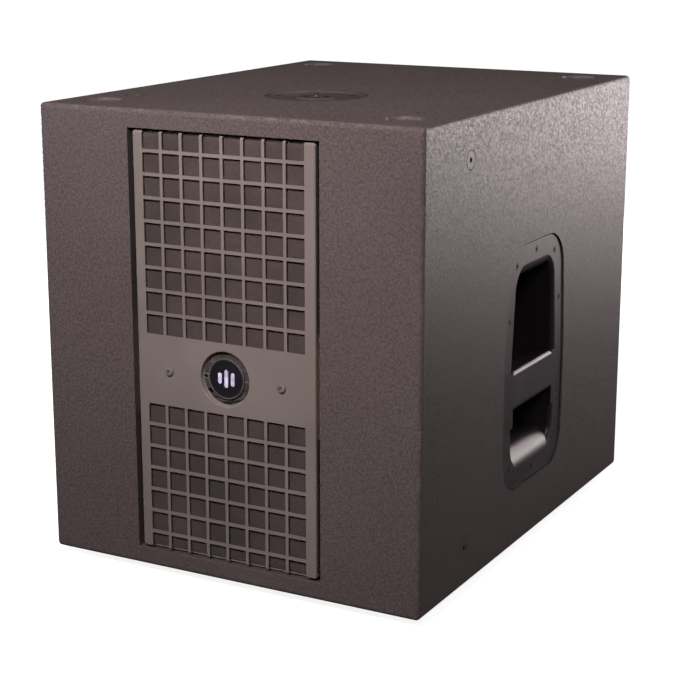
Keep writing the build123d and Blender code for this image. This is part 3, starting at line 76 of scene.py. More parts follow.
class Finish:
    """One procedural material. Its methods add nodes and hand back their output sockets."""

    def __init__(self, name, metallic=0.0, specular=0.5, coat=0.0, sheen=0.0):
        self.material = bpy.data.materials.new(name)
        self.material.use_nodes = True
        self.tree = self.material.node_tree
        self.shader = self.tree.nodes["Principled BSDF"]
        for field, value in (
            ("Metallic", metallic),
            ("Specular IOR Level", specular),
            ("Coat Weight", coat),
            ("Coat Roughness", COAT_ROUGHNESS),
            ("Sheen Weight", sheen),
        ):
            self.shader.inputs[field].default_value = value
        self.place = self.add("ShaderNodeTexCoord").outputs["Object"]
        self.normal = None

    def add(self, kind, **settings):
        node = self.tree.nodes.new(kind)
        for key, value in settings.items():
            setattr(node, key, value)
        return node

    def feed(self, socket, value):
        """Link a socket, or set it to a number or colour."""
        if isinstance(value, bpy.types.NodeSocket):
            self.tree.links.new(value, socket)
        elif value is not None:
            socket.default_value = value

    def maths(self, operation, a, b=None, c=None):
        node = self.add("ShaderNodeMath", operation=operation)
        for socket, value in zip(node.inputs, (a, b, c)):
            self.feed(socket, value)
        return node.outputs[0]

    def waves(self, value, pitch):
        """Sine of a length, one wave to each pitch; both are in metres."""
        return self.maths("SINE", self.maths("MULTIPLY", value, 2 * pi / pitch))

    def span(self, value, low, high, to_low=0.0, to_high=1.0):
        """value rescaled smoothly from low..high to to_low..to_high, and held at the ends."""
        node = self.add("ShaderNodeMapRange", interpolation_type="SMOOTHSTEP")
        for socket, number in zip(node.inputs, (value, low, high, to_low, to_high)):
            self.feed(socket, number)
        return node.outputs[0]

    def stretched(self, x, y, z):
        """Object coordinates scaled apart along each axis."""
        node = self.add("ShaderNodeMapping")
        self.feed(node.inputs["Vector"], self.place)
        node.inputs["Scale"].default_value = (x, y, z)
        return node.outputs[0]

    def axis(self, name):
        """One of the object coordinates, in metres."""
        node = self.add("ShaderNodeSeparateXYZ")
        self.feed(node.inputs[0], self.place)
        return node.outputs[name]

    def cloud(self, scale, detail=3.0, roughness=0.55, vector=None, distortion=0.0):
        """Noise from 0 to 1, with scale in features per metre."""
        node = self.add("ShaderNodeTexNoise")
        self.feed(node.inputs["Vector"], vector or self.place)
        node.inputs["Scale"].default_value = scale
        node.inputs["Detail"].default_value = detail
        node.inputs["Roughness"].default_value = roughness
        node.inputs["Distortion"].default_value = distortion
        return node.outputs[0]

    def cells(self, scale, feature="F1", smoothness=None, randomness=1.0):
        """Distance to the nearest of scattered points, for grains and pores."""
        node = self.add("ShaderNodeTexVoronoi", feature=feature)
        self.feed(node.inputs["Vector"], self.place)
        node.inputs["Scale"].default_value = scale
        node.inputs["Randomness"].default_value = randomness
        if smoothness is not None:
            node.inputs["Smoothness"].default_value = smoothness
        return node.outputs["Distance"]

    def blend(self, share, a, b):
        """Colour a turning into b; numbers, triples and sockets all serve."""
        node = self.add("ShaderNodeMix", data_type="RGBA")
        self.feed(node.inputs[0], share)
        self.feed(node.inputs[6], linear(a) if isinstance(a, tuple) else a)
        self.feed(node.inputs[7], linear(b) if isinstance(b, tuple) else b)
        return node.outputs[2]

    def relief(self, height, strength, distance):
        """Add a bump layer on the ones before it; distance is its real depth in metres."""
        node = self.add("ShaderNodeBump")
        node.inputs["Strength"].default_value = strength
        node.inputs["Distance"].default_value = distance
        self.feed(node.inputs["Height"], height)
        self.feed(node.inputs["Normal"], self.normal)
        self.normal = node.outputs[0]

    def done(self, colour, roughness):
        self.feed(self.shader.inputs["Base Color"], linear(colour) if isinstance(colour, tuple) else colour)
        self.feed(self.shader.inputs["Roughness"], roughness)
        self.feed(self.shader.inputs["Normal"], self.normal)
        return self.material


def plain(name, dark, light, rough, grain=900.0, depth=0.05, blotch=14.0, strength=0.5, **shader):
    """Finish with soft colour drift, uneven gloss and a fine grain; depth is in millimetres."""
    f = Finish(name, **shader)
    drift = f.span(f.cloud(blotch, 4.0), 0.3, 0.7)
    speck = f.cloud(grain, 2.0)
    f.relief(speck, strength, depth * MM)
    f.relief(f.cloud(blotch * 6, 2.0), 0.15, 0.2 * MM)
    uneven = f.maths("ADD", f.cloud(blotch * 3), f.maths("MULTIPLY", speck, 0.3))
    gloss = f.span(uneven, 0.4, 0.95, *rough)
    return f.done(f.blend(drift, dark, light), gloss)


def paint_material():
    """Sprayed textured coat outside the panels, raw plywood inside them."""
    f = Finish("textured_paint", specular=0.5)
    half_x, half_y = side_box[1].x, side_box[1].y
    gaps = []
    for name, centre, half in (("X", 0.0, half_x), ("Y", 0.0, half_y), ("Z", BODY_MIDDLE, BODY_HALF)):
        offset = f.maths("ABSOLUTE", f.maths("SUBTRACT", f.axis(name), centre))
        gaps.append(f.maths("SUBTRACT", half, offset))
    least = f.maths("MINIMUM", gaps[0], gaps[1])
    most = f.maths("MAXIMUM", gaps[0], gaps[1])
    to_edge = f.maths("MAXIMUM", least, f.maths("MINIMUM", most, gaps[2]))
    depth = f.maths("MINIMUM", least, gaps[2])
    inside = f.span(depth, PAINT_END, WOOD_START)

    beads = f.cells(450, "SMOOTH_F1", 0.7)
    fine = f.cloud(1300, 3.0, 0.6)
    lumps = f.cloud(330, 2.0, 0.6)
    drift = f.span(f.cloud(3.2, 5.0, 0.6), 0.3, 0.7)
    coat = f.blend(drift, (54, 45, 44), (60, 51, 51))
    coat = f.blend(f.span(lumps, 0.35, 0.65, 0.0, 0.45), coat, (72, 63, 64))
    coat = f.blend(f.span(beads, 0.3, 0.75, 0.0, 0.5), coat, (42, 34, 34))
    near_edge = f.span(to_edge, 0.5 * MM, 5 * MM, 1.0, 0.0)
    rubbed = f.maths("MULTIPLY", near_edge, f.span(f.cloud(60, 5.0, 0.7), 0.5, 0.68))
    coat = f.blend(f.maths("MULTIPLY", rubbed, 0.3), coat, (92, 84, 82))

    veneer = f.span(f.cloud(16, 6.0, 0.65, f.stretched(1.0, 9.0, 1.0), 0.6), 0.3, 0.7)
    wood = f.blend(veneer, (196, 160, 116), (222, 192, 150))
    f.relief(lumps, 0.6, 0.15 * MM)
    f.relief(beads, 0.7, 0.16 * MM)
    f.relief(fine, 0.5, 0.1 * MM)
    gloss = f.span(f.maths("ADD", lumps, f.maths("MULTIPLY", fine, 0.4)), 0.5, 0.9, 0.34, 0.54)
    gloss = f.maths("SUBTRACT", gloss, f.maths("MULTIPLY", rubbed, 0.06))
    roughness = f.maths("ADD", gloss, f.maths("MULTIPLY", inside, 0.25))
    return f.done(f.blend(inside, coat, wood), roughness)


def plywood_material():
    """Bare birch ply: face veneer, with its plies showing on the cut edges."""
    f = Finish("bare_plywood", specular=0.35)
    figure = f.span(f.cloud(14, 6.0, 0.65, f.stretched(1.0, 1.0, 8.0), 0.8), 0.3, 0.7)
    pores = f.cloud(420, 2.0, 0.5, f.stretched(6.0, 6.0, 1.0))
    wood = f.blend(figure, (190, 154, 110), (220, 190, 148))
    wood = f.blend(f.span(pores, 0.62, 0.75, 0.0, 0.4), wood, (150, 112, 76))
    plies = f.waves(f.axis("Y"), PLY_PITCH)
    wood = f.blend(f.span(plies, 0.2, 0.8, 0.0, 0.18), wood, (140, 100, 66))
    f.relief(pores, 0.4, 0.1 * MM)
    return f.done(wood, f.span(figure, 0.0, 1.0, 0.62, 0.78))


def grille_material():
    """Powder-coated sheet steel with a fine even texture."""
    f = Finish("grille_steel", specular=0.5)
    fine = f.cloud(1500, 3.0, 0.6)
    peel = f.cells(900, "SMOOTH_F1", 0.8)
    drift = f.span(f.cloud(7, 4.0), 0.3, 0.7)
    f.relief(peel, 0.35, 0.07 * MM)
    f.relief(fine, 0.4, 0.08 * MM)
    coat = f.blend(drift, (76, 67, 65), (84, 75, 73))
    coat = f.blend(f.span(fine, 0.45, 0.7, 0.0, 0.3), coat, (98, 89, 87))
    return f.done(coat, f.span(f.cloud(14, 3.0), 0.3, 0.7, 0.29, 0.33))


def foam_material():
    """Open-cell foam: small dark pores between lighter struts."""
    f = Finish("acoustic_foam", specular=0.15, sheen=0.08)
    pores = f.cells(620)
    fine = f.cells(1400)
    drift = f.span(f.cloud(18, 4.0), 0.3, 0.7)
    foam = f.blend(drift, (41, 34, 33), (50, 41, 40))
    foam = f.blend(f.span(pores, 0.15, 0.5, 0.5, 0.0), foam, (20, 16, 16))
    f.relief(pores, 0.6, 0.5 * MM)
    f.relief(fine, 0.4, 0.2 * MM)
    return f.done(foam, 0.95)


def felt_material():
    """Pale polyester wadding with loose fibres."""
    f = Finish("damping_felt", specular=0.15, sheen=0.5)
    fibres = f.cloud(260, 6.0, 0.75, f.stretched(1.0, 3.0, 1.6), 1.5)
    drift = f.span(f.cloud(11, 4.0), 0.3, 0.7)
    wool = f.blend(drift, (176, 172, 162), (202, 199, 190))
    wool = f.blend(f.span(fibres, 0.5, 0.75, 0.0, 0.45), wool, (128, 122, 112))
    f.relief(fibres, 0.8, 1.2 * MM)
    return f.done(wool, 0.95)


def turned_metal(name, dark, light, rough):
    """Machined metal, with tool marks and faint stains."""
    f = Finish(name, metallic=1.0)
    stain = f.span(f.cloud(45, 5.0, 0.65), 0.35, 0.7)
    marks = f.cloud(1 / TOOL_MARK_PITCH, 1.0, 0.4, f.stretched(0.25, 0.25, 1.0))
    f.relief(marks, 0.25, 0.04 * MM)
    f.relief(f.cloud(600, 3.0), 0.2, 0.05 * MM)
    return f.done(f.blend(stain, dark, light), f.span(f.cloud(120, 4.0), 0.35, 0.7, *rough))


def cone_material():
    """Coated paper pulp with pressed rings and stray fibres."""
    f = Finish("pulp_cone", specular=0.3)
    x = f.axis("X")
    z = f.maths("SUBTRACT", f.axis("Z"), WOOFER_Z)
    radius = f.maths("SQRT", f.maths("ADD", f.maths("MULTIPLY", x, x), f.maths("MULTIPLY", z, z)))
    rings = f.waves(radius, CONE_RING_PITCH)
    fibres = f.cloud(340, 5.0, 0.7, distortion=2.0)
    f.relief(f.span(rings, 0.0, 1.0), 0.5, 0.6 * MM)
    f.relief(fibres, 0.6, 0.3 * MM)
    pulp = f.blend(f.span(fibres, 0.45, 0.7), (34, 32, 33), (62, 58, 58))
    return f.done(pulp, f.span(f.cloud(50), 0.35, 0.7, 0.6, 0.78))


def cloth_material():
    """Doped cotton: a fine weave under a thin coat."""
    f = Finish("doped_cloth", specular=0.35)
    weave = f.maths("MULTIPLY", f.waves(f.axis("X"), WEAVE_PITCH), f.waves(f.axis("Z"), WEAVE_PITCH))
    f.relief(weave, 0.6, 0.15 * MM)
    drift = f.span(f.cloud(30, 4.0), 0.3, 0.7)
    cloth = f.blend(drift, (52, 46, 41), (72, 64, 57))
    cloth = f.blend(f.span(weave, -0.4, 0.6, 0.35, 0.0), cloth, (30, 26, 24))
    return f.done(cloth, f.span(f.cloud(80), 0.35, 0.7, 0.45, 0.7))


def winding_material():
    """Enamelled copper wire laid side by side."""
    f = Finish("wound_copper", metallic=1.0)
    wire = f.waves(f.axis("Y"), WIRE_PITCH)
    f.relief(wire, 0.9, 0.2 * MM)
    drift = f.span(f.cloud(60, 4.0), 0.3, 0.7)
    return f.done(f.blend(drift, (168, 96, 58), (206, 132, 84)), f.span(wire, -1.0, 1.0, 0.42, 0.26))


def board_material():
    """Green solder mask with faint copper tracks under it."""
    f = Finish("circuit_board", specular=0.5, coat=0.3)
    tracks = f.cells(70, "DISTANCE_TO_EDGE", randomness=0.45)
    mask = f.blend(f.span(tracks, 0.03, 0.07), (52, 108, 62), (22, 66, 40))
    specks = f.cells(160)
    board = f.blend(f.span(specks, 0.1, 0.16), (186, 182, 168), mask)
    f.relief(f.span(tracks, 0.03, 0.07), 0.4, 0.08 * MM)
    return f.done(board, f.span(f.cloud(40), 0.35, 0.7, 0.3, 0.5))


def lamp_material():
    """Clear green lens, its tint varying in soft clouds."""
    f = Finish("lamp_lens", specular=0.6, coat=0.6)
    f.shader.inputs["Transmission Weight"].default_value = 0.25
    f.relief(f.cloud(900, 2.0), 0.2, 0.05 * MM)
    glow = f.span(f.cloud(500, 2.0), 0.3, 0.7)
    return f.done(f.blend(glow, (38, 120, 60), (86, 190, 104)), f.span(f.cloud(300), 0.3, 0.7, 0.15, 0.3))


side_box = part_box("right_side_panel")
top_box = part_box("top_panel")
floor_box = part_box("bottom_panel")
BODY_HALF = (top_box[1].z - floor_box[0].z) / 2
BODY_MIDDLE = (top_box[1].z + floor_box[0].z) / 2
magnet_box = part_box("magnet")
WOOFER_Z = (magnet_box[0].z + magnet_box[1].z) / 2

finishes = {
    "textured_paint": paint_material(),
    "bare_plywood": plywood_material(),
    "grille_steel": grille_material(),
    "acoustic_foam": foam_material(),
    "damping_felt": felt_material(),
    "handle_plastic": plain("handle_plastic", (31, 25, 26), (38, 32, 34), (0.33, 0.39), 1500, 0.03, 5, 0.35),
    "grip_rubber": plain("grip_rubber", (29, 23, 24), (38, 31, 32), (0.31, 0.4), 1300, 0.05, 6, 0.4),
    "black_screws": plain(
        "black_screws", (12, 10, 10), (20, 17, 17), (0.5, 0.65), 1600, 0.04, 90, specular=0.25
    ),
    "zinc_steel": turned_metal("zinc_steel", (150, 144, 142), (196, 190, 186), (0.2, 0.4)),
    "socket_casting": plain("socket_casting", (36, 30, 30), (50, 43, 43), (0.34, 0.5), 900, 0.1, 18),
    "badge_black": plain("badge_black", (12, 11, 13), (18, 17, 20), (0.1, 0.22), 1200, 0.01, 12, coat=0.6),
    "badge_metal": plain(
        "badge_metal", (58, 52, 54), (78, 72, 74), (0.26, 0.38), 1500, 0.03, 60, metallic=0.4
    ),
    "foot_rubber": plain(
        "foot_rubber", (24, 22, 22), (34, 32, 31), (0.7, 0.88), 1000, 0.12, 30, specular=0.3
    ),
    "basket_casting": plain("basket_casting", (32, 31, 33), (46, 45, 47), (0.4, 0.6), 800, 0.15, 15),
    "pulp_cone": cone_material(),
    "doped_cloth": cloth_material(),
    "coil_copper": winding_material(),
    "ferrite": plain("ferrite", (50, 49, 52), (70, 69, 72), (0.5, 0.7), 700, 0.15, 22, specular=0.4),
    "amp_aluminium": plain(
        "amp_aluminium", (30, 29, 31), (44, 43, 45), (0.32, 0.5), 1800, 0.03, 9, metallic=0.35
    ),
    "circuit_board": board_material(),
    "copper_winding": winding_material(),
    "connector_plastic": plain("connector_plastic", (20, 19, 20), (32, 31, 32), (0.34, 0.52), 1500, 0.05, 40),
    "control_plastic": plain("control_plastic", (38, 37, 38), (54, 53, 54), (0.4, 0.58), 1400, 0.06, 50),
    "lamp_lens": lamp_material(),
}

for part in frame["record"]["subparts"]:
    mesh = nodes[part["node"]].data
    mesh.materials.clear()
    mesh.materials.append(finishes[part["material_slot"]])


# ------------------------------------------------------------------ foam, wadding and badge mark
SHARP_ANGLE = 38.0


def piece(name, build, slot_name, body="cabinet", smooth=True):
    """A new mesh piece, filled by build(bmesh), in its finish and on its body."""
    bm = bmesh.new()
    build(bm)
    bmesh.ops.recalc_face_normals(bm, faces=bm.faces)
    mesh = bpy.data.meshes.new(name)
    bm.to_mesh(mesh)
    bm.free()
    for face in mesh.polygons:
        face.use_smooth = smooth
    if smooth:
        mesh.set_sharp_from_angle(angle=radians(SHARP_ANGLE))
    made = bpy.data.objects.new(name, mesh)
    bpy.context.scene.collection.objects.link(made)
    mesh.materials.append(finishes[slot_name])
    if body:
        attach(made, body)
    return made


def wobble(point, scale, amount, seed=0.0):
    """Smooth seeded noise at a point, in metres."""
    return amount * noise.noise(Vector(point) * scale + Vector((seed, seed * 1.7, seed * 0.3)))


FOAM_PITCH = 2.6 * MM
FOAM_EDGE = 1.4 * MM
FOAM_SINK = 0.4 * MM
LEAST_SINK = 0.05 * MM
DISH_CLEAR, SPACER_CLEAR = 33 * MM, 5.4 * MM
foam_low, foam_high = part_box("grille_foam")
crossbar_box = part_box("grille_crossbar")
BADGE_Z = (crossbar_box[0].z + crossbar_box[1].z) / 2
spacer_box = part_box("grille_spacers")
SPACER_RADIUS = (spacer_box[1].z - spacer_box[0].z) / 2
SPACER_X = spacer_box[1].x - SPACER_RADIUS
FOAM_HOLES = [
    (0.0, BADGE_Z, DISH_CLEAR),
    (-SPACER_X, BADGE_Z, SPACER_CLEAR),
    (SPACER_X, BADGE_Z, SPACER_CLEAR),
]


def build_foam(bm):
    """Cut sheet of foam: soft edges, slightly uneven faces, holes for the dish and the spacers."""
    width, height = foam_high.x - foam_low.x, foam_high.z - foam_low.z
    across, up = round(width / FOAM_PITCH), round(height / FOAM_PITCH)
    grid = []
    for i in range(across + 1):
        x = foam_low.x + width * i / across
        grid.append([bm.verts.new((x, foam_low.y, foam_low.z + height * j / up)) for j in range(up + 1)])
    for x, z, radius in FOAM_HOLES:
        for column in grid:
            for vert in column:
                gap = hypot(vert.co.x - x, vert.co.z - z)
                if radius - 1.5 * FOAM_PITCH < gap < radius + 0.5 * FOAM_PITCH and gap > 1e-6:
                    vert.co.x = x + (vert.co.x - x) * radius / gap
                    vert.co.z = z + (vert.co.z - z) * radius / gap
    for i in range(across):
        for j in range(up):
            corners = (grid[i][j], grid[i + 1][j], grid[i + 1][j + 1], grid[i][j + 1])
            middle = sum((v.co for v in corners), Vector()) / 4
            if all(hypot(middle.x - x, middle.z - z) > radius * 0.985 for x, z, radius in FOAM_HOLES):
                bm.faces.new(corners)
    bmesh.ops.delete(bm, geom=[v for v in bm.verts if not v.link_faces], context="VERTS")
    front = list(bm.faces)
    copy = bmesh.ops.duplicate(bm, geom=list(bm.verts) + list(bm.edges) + front)
    back_verts = [g for g in copy["geom"] if isinstance(g, bmesh.types.BMVert)]
    for vert in back_verts:
        vert.co.y = foam_high.y
    edges = [e for e in bm.edges if len(e.link_faces) == 1]
    bmesh.ops.bridge_loops(bm, edges=edges)
    middle_y = (foam_low.y + foam_high.y) / 2
    for vert in bm.verts:
        x, y, z = vert.co
        rims = [x - foam_low.x, foam_high.x - x, z - foam_low.z, foam_high.z - z]
        rims += [abs(hypot(x - hole_x, z - hole_z) - radius) for hole_x, hole_z, radius in FOAM_HOLES]
        sink = FOAM_SINK + FOAM_EDGE * max(0.0, 1 - min(rims) / (1.5 * FOAM_EDGE)) ** 2
        sink += wobble(vert.co, 55, 0.2 * MM) + wobble(vert.co, 420, 0.18 * MM, 3.0)
        vert.co.y += max(LEAST_SINK, sink) * (1 if y < middle_y else -1)


foam = piece("foam_sheet", build_foam, "acoustic_foam")
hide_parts("grille_foam")

PAD_PITCH = 6 * MM
PAD_ROUNDING = 0.42


def pad_into(bm, low, high, seed):
    """Closed rounded pad of loose wadding between two corners."""
    size = [b - a for a, b in zip(low, high)]
    counts = [max(3, round(length / PAD_PITCH)) for length in size]
    radius = min(size) * PAD_ROUNDING
    made = {}

    def corner(index):
        if index not in made:
            point = [a + length * i / n for a, length, i, n in zip(low, size, index, counts)]
            inner = Vector([min(max(p, a + radius), b - radius) for p, a, b in zip(point, low, high)])
            lift = radius * (0.86 + wobble(inner, 26, 0.16, seed) + wobble(point, 120, 0.07, seed + 5))
            out = (Vector(point) - inner).normalized() * min(lift, radius)
            made[index] = bm.verts.new(inner + out)
        return made[index]

    for axis in range(3):
        u, v = (axis + 1) % 3, (axis + 2) % 3
        for end in (0, counts[axis]):
            for i in range(counts[u]):
                for j in range(counts[v]):
                    ring = []
                    for di, dj in ((0, 0), (1, 0), (1, 1), (0, 1)):
                        index = [0, 0, 0]
                        index[axis], index[u], index[v] = end, i + di, j + dj
                        ring.append(corner(tuple(index)))
                    bm.faces.new(ring)


mats_low, mats_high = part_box("damping_mats")
MAT = 18 * MM
SIDE_MAT_LOW, SIDE_MAT_HIGH = 120 * MM, 460 * MM
TOP_MAT_HALF = 180 * MM


def build_wadding(bm):
    """A pad on the inside of each side wall, and one under the top."""
    pads = (
        ((mats_low.x, mats_low.y, SIDE_MAT_LOW), (mats_low.x + MAT, mats_high.y, SIDE_MAT_HIGH)),
        ((mats_high.x - MAT, mats_low.y, SIDE_MAT_LOW), (mats_high.x, mats_high.y, SIDE_MAT_HIGH)),
        ((-TOP_MAT_HALF, mats_low.y, mats_high.z - MAT), (TOP_MAT_HALF, mats_high.y, mats_high.z)),
    )
    for number, (low, high) in enumerate(pads, 1):
        pad_into(bm, low, high, float(number))


wadding = piece("wadding_mats", build_wadding, "damping_felt")
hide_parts("damping_mats")

disc_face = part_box("badge_disc")[0].y
BAR_HEIGHTS = (12.0 * MM, 20.0 * MM, 15.0 * MM)
BAR_PITCH, BAR_HALF_WIDTH = 8.0 * MM, 2.3 * MM
BAR_PROUD, BAR_SUNK, BAR_CHAMFER = 0.5 * MM, 0.2 * MM, 0.15 * MM
CAP_STEPS = 8


def build_mark(bm):
    """Three round-ended bars of unlike height, like a level meter."""
    face = disc_face - BAR_PROUD
    for k, tall in enumerate(BAR_HEIGHTS):
        x, straight = (k - 1) * BAR_PITCH, tall / 2 - BAR_HALF_WIDTH
        ring = []
        for end, first in ((straight, 0), (-straight, CAP_STEPS)):
            for step in range(first, first + CAP_STEPS + 1):
                turn = pi * step / CAP_STEPS
                ring.append((x + BAR_HALF_WIDTH * cos(turn), BADGE_Z + end + BAR_HALF_WIDTH * sin(turn)))
        loops = []
        for y, shrink in ((disc_face + BAR_SUNK, 0.0), (face + BAR_CHAMFER, 0.0), (face, BAR_CHAMFER)):
            loop = []
            for px, pz in ring:
                out = Vector((px - x, 0, pz - BADGE_Z))
                out = out * max(0.0, 1 - shrink / out.length)
                loop.append(bm.verts.new((x + out.x, y, BADGE_Z + out.z)))
            loops.append(loop)
        for a, b in zip(loops, loops[1:]):
            for s in range(len(a)):
                t = (s + 1) % len(a)
                bm.faces.new((a[s], a[t], b[t], b[s]))
        bm.faces.new(loops[0])
        bm.faces.new(loops[-1])


mark = piece("badge_mark", build_mark, "badge_metal", smooth=False)
mark.data.materials[0] = plain("badge_print", (112, 104, 128), (166, 158, 180), (0.3, 0.42), 1400, 0.03, 80)


# ------------------------------------------------------------------ pole nut with its thread
nut_low, nut_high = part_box("pole_nut")
NUT_RADIUS = (nut_high.x - nut_low.x) / 2
NUT_MINOR = 8.65 * MM
THREAD_DEPTH = 1.3 * MM
THREAD_PITCH = 2.5 * MM
ROWS_PER_TURN = 8
ROUND_STEPS = 72
BASE_CHAMFER, MOUTH_CHAMFER = 0.4 * MM, 0.5 * MM
MOUTH_PLAY = 0.3 * MM
MOUTH_SLOPE = 1.2


def build_nut(bm):
    """Steel nut with a real helical thread and a chamfered mouth."""
    centre_x, centre_y = (nut_low.x + nut_high.x) / 2, (nut_low.y + nut_high.y) / 2
    height = nut_high.z - nut_low.z
    rows = round(height / THREAD_PITCH * ROWS_PER_TURN)
    loops = []

    def ring(z, radius):
        loop = []
        for k in range(ROUND_STEPS):
            turn = 2 * pi * k / ROUND_STEPS
            reach = radius(turn) if callable(radius) else radius
            loop.append(bm.verts.new((centre_x + reach * cos(turn), centre_y + reach * sin(turn), z)))
        loops.append(loop)

    for z, radius in (
        (nut_low.z, NUT_RADIUS - BASE_CHAMFER),
        (nut_low.z + BASE_CHAMFER, NUT_RADIUS),
        (nut_high.z - MOUTH_CHAMFER, NUT_RADIUS),
        (nut_high.z, NUT_RADIUS - MOUTH_CHAMFER),
    ):
        ring(z, radius)
    for row in range(rows + 1):
        z = nut_high.z - height * row / rows
        mouth = NUT_MINOR + THREAD_DEPTH + MOUTH_PLAY - MOUTH_SLOPE * (nut_high.z - z)

        def groove(turn):
            phase = (z / THREAD_PITCH - turn / (2 * pi)) % 1.0
            return max(NUT_MINOR + THREAD_DEPTH * abs(2 * phase - 1), mouth)

        ring(z, groove)
    loops.append(loops[0])
    for a, b in zip(loops, loops[1:]):
        for k in range(ROUND_STEPS):
            j = (k + 1) % ROUND_STEPS
            bm.faces.new((a[k], a[j], b[j], b[k]))


nut = piece("threaded_nut", build_nut, "zinc_steel")
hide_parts("pole_nut")


# ------------------------------------------------------------------ rolled skins between cone and basket
ROLL_STEPS = 12
TURN_STEPS = 144
FOLD_POWER = 0.8  # under 1 gives each fold steep sides and a broad crest


def build_skin(profile):
    """Ring skin turned round the woofer's axis from a closed (radius, y) outline."""

    def build(bm):
        loops = []
        for radius, y in profile:
            loop = []
            for k in range(TURN_STEPS):
                turn = 2 * pi * k / TURN_STEPS
                loop.append(bm.verts.new((radius * cos(turn), y, WOOFER_Z + radius * sin(turn))))
            loops.append(loop)
        for a, b in zip(loops, loops[1:] + loops[:1]):
            for k in range(TURN_STEPS):
                j = (k + 1) % TURN_STEPS
                bm.faces.new((a[k], a[j], b[j], b[k]))

    return build


def rolled_outline(inner, start, stop, outer, count, height, skin, seat):
    """Closed outline of a flat-rimmed skin with round folds between start and stop."""
    steps = ROLL_STEPS * count
    front = [(inner, seat - skin)]
    for k in range(steps + 1):
        radius = start + (stop - start) * k / steps
        front.append((radius, seat - skin - height * abs(sin(pi * count * k / steps)) ** FOLD_POWER))
    front.append((outer, seat - skin))
    return front + [(radius, y + skin * 0.98) for radius, y in reversed(front)]


def rolled_skin(name, node, inner, start, stop, outer, count, height, skin):
    """Rolled skin whose inner rim follows the cone and outer rim the basket; lengths in millimetres."""
    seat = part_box(node)[1].y
    radii = [value * MM for value in (inner, start, stop, outer)]
    outline = rolled_outline(*radii, count, height * MM, skin * MM, seat)
    made = piece(name, build_skin(outline), "doped_cloth", body=None)
    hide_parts(node)
    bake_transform(made)
    return made


rolled_skin(
    "rolled_surround", "surround", inner=137, start=146, stop=164, outer=176, count=2, height=5.0, skin=1.2
)
rolled_skin("rolled_spider", "spider", inner=51, start=58, stop=98, outer=111, count=5, height=3.5, skin=0.9)


# ------------------------------------------------------------------ printed dials on the back
TICKS = 11
DIAL_SWEEP = radians(140)
DIAL_GAP = 1.6 * MM
LONG_STROKE, SHORT_STROKE = 3.2 * MM, 2.2 * MM
STROKE_HALF_WIDTH = 0.35 * MM
STROKE_SUNK, STROKE_PROUD = 0.1 * MM, 0.12 * MM
CONNECTOR_FLANGE = 2.5 * MM


def build_dials(bm):
    """Eleven thin printed strokes round each knob, the middle and end ones longer."""
    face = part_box("xlr_link")[1].y - CONNECTOR_FLANGE
    for knob in ("level_knob", "lowpass_knob"):
        low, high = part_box(knob)
        x, z, rim = (low.x + high.x) / 2, (low.z + high.z) / 2, (high.x - low.x) / 2
        start = rim + DIAL_GAP
        for k in range(TICKS):
            turn = DIAL_SWEEP * (2 * k / (TICKS - 1) - 1)
            stop = start + (LONG_STROKE if k in (0, TICKS // 2, TICKS - 1) else SHORT_STROKE)
            out = Vector((sin(turn), 0, cos(turn)))
            across = Vector((cos(turn), 0, -sin(turn))) * STROKE_HALF_WIDTH
            corners = []
            for y in (face - STROKE_SUNK, face + STROKE_PROUD):
                base = Vector((x, y, z))
                outline = ((start, -1), (stop, -1), (stop, 1), (start, 1))
                corners.append([bm.verts.new(base + out * reach + across * side) for reach, side in outline])
            bm.faces.new(corners[0])
            bm.faces.new(corners[1])
            for i in range(4):
                j = (i + 1) % 4
                bm.faces.new((corners[0][i], corners[0][j], corners[1][j], corners[1][i]))


piece("dial_marks", build_dials, "badge_metal", smooth=False)


# ------------------------------------------------------------------ second finishes on CAD nodes
# millimetres in the shared frame
CONNECTOR_FACE_Y = 272.2
LINK_X, LINK_Z, PIN_CIRCLE, PIN_REACH = 34, 190, 3.4, 1.3
INLET_X, INLET_Z, BLADE_REACH = -60, 146, 2.3
BLADES = ((-7, -2.5), (7, -2.5), (0, 2.5))
BOARD_THICKNESS = 1.8


def repaint(node, finish, chosen):
    """Give the faces of a CAD node whose middle passes a test a second finish."""
    mesh = nodes[node].data
    mesh.materials.append(finish)
    for face in mesh.polygons:
        if chosen(face.center / MM):
            face.material_index = len(mesh.materials) - 1


def near_any(spots, reach):
    """Test for points inside a connector and close to one of its contacts."""
    return lambda p: p.y < CONNECTOR_FACE_Y and any(hypot(p.x - x, p.z - z) < reach for x, z in spots)


own_finishes = {
    "grille_screws": plain(
        "dull_steel", (70, 62, 61), (92, 84, 82), (0.42, 0.55), 1500, 0.04, 60, metallic=0.3
    ),
    "rigging_plugs": plain("coated_steel", (54, 46, 46), (66, 57, 57), (0.36, 0.46), 1500, 0.05, 60),
    # painted shade: the inserts are coloured near black, so they draw the shadow in the gap round each plug
    # as a dark ring
    "rigging_inserts": plain(
        "insert_painted_shade", (24, 19, 19), (34, 28, 28), (0.5, 0.6), 1500, 0.05, 60, specular=0.3
    ),
}
for node, finish in own_finishes.items():
    nodes[node].material_slots[0].material = finish

pins = []
for angle in (0, 180, 270):
    turn = radians(angle)
    pins.append((LINK_X + PIN_CIRCLE * cos(turn), LINK_Z + PIN_CIRCLE * sin(turn)))
repaint("xlr_link", finishes["zinc_steel"], near_any(pins, PIN_REACH))
blades = [(INLET_X + x, INLET_Z + z) for x, z in BLADES]
repaint("mains_inlet", finishes["zinc_steel"], near_any(blades, BLADE_REACH))
sleeve = plain("capacitor_sleeve", (22, 26, 44), (32, 38, 60), (0.3, 0.42), 900, 0.03, 30)
board_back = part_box("amp_circuit_board")[1].y / MM
repaint("amp_circuit_board", sleeve, lambda p: p.y < board_back - BOARD_THICKNESS)


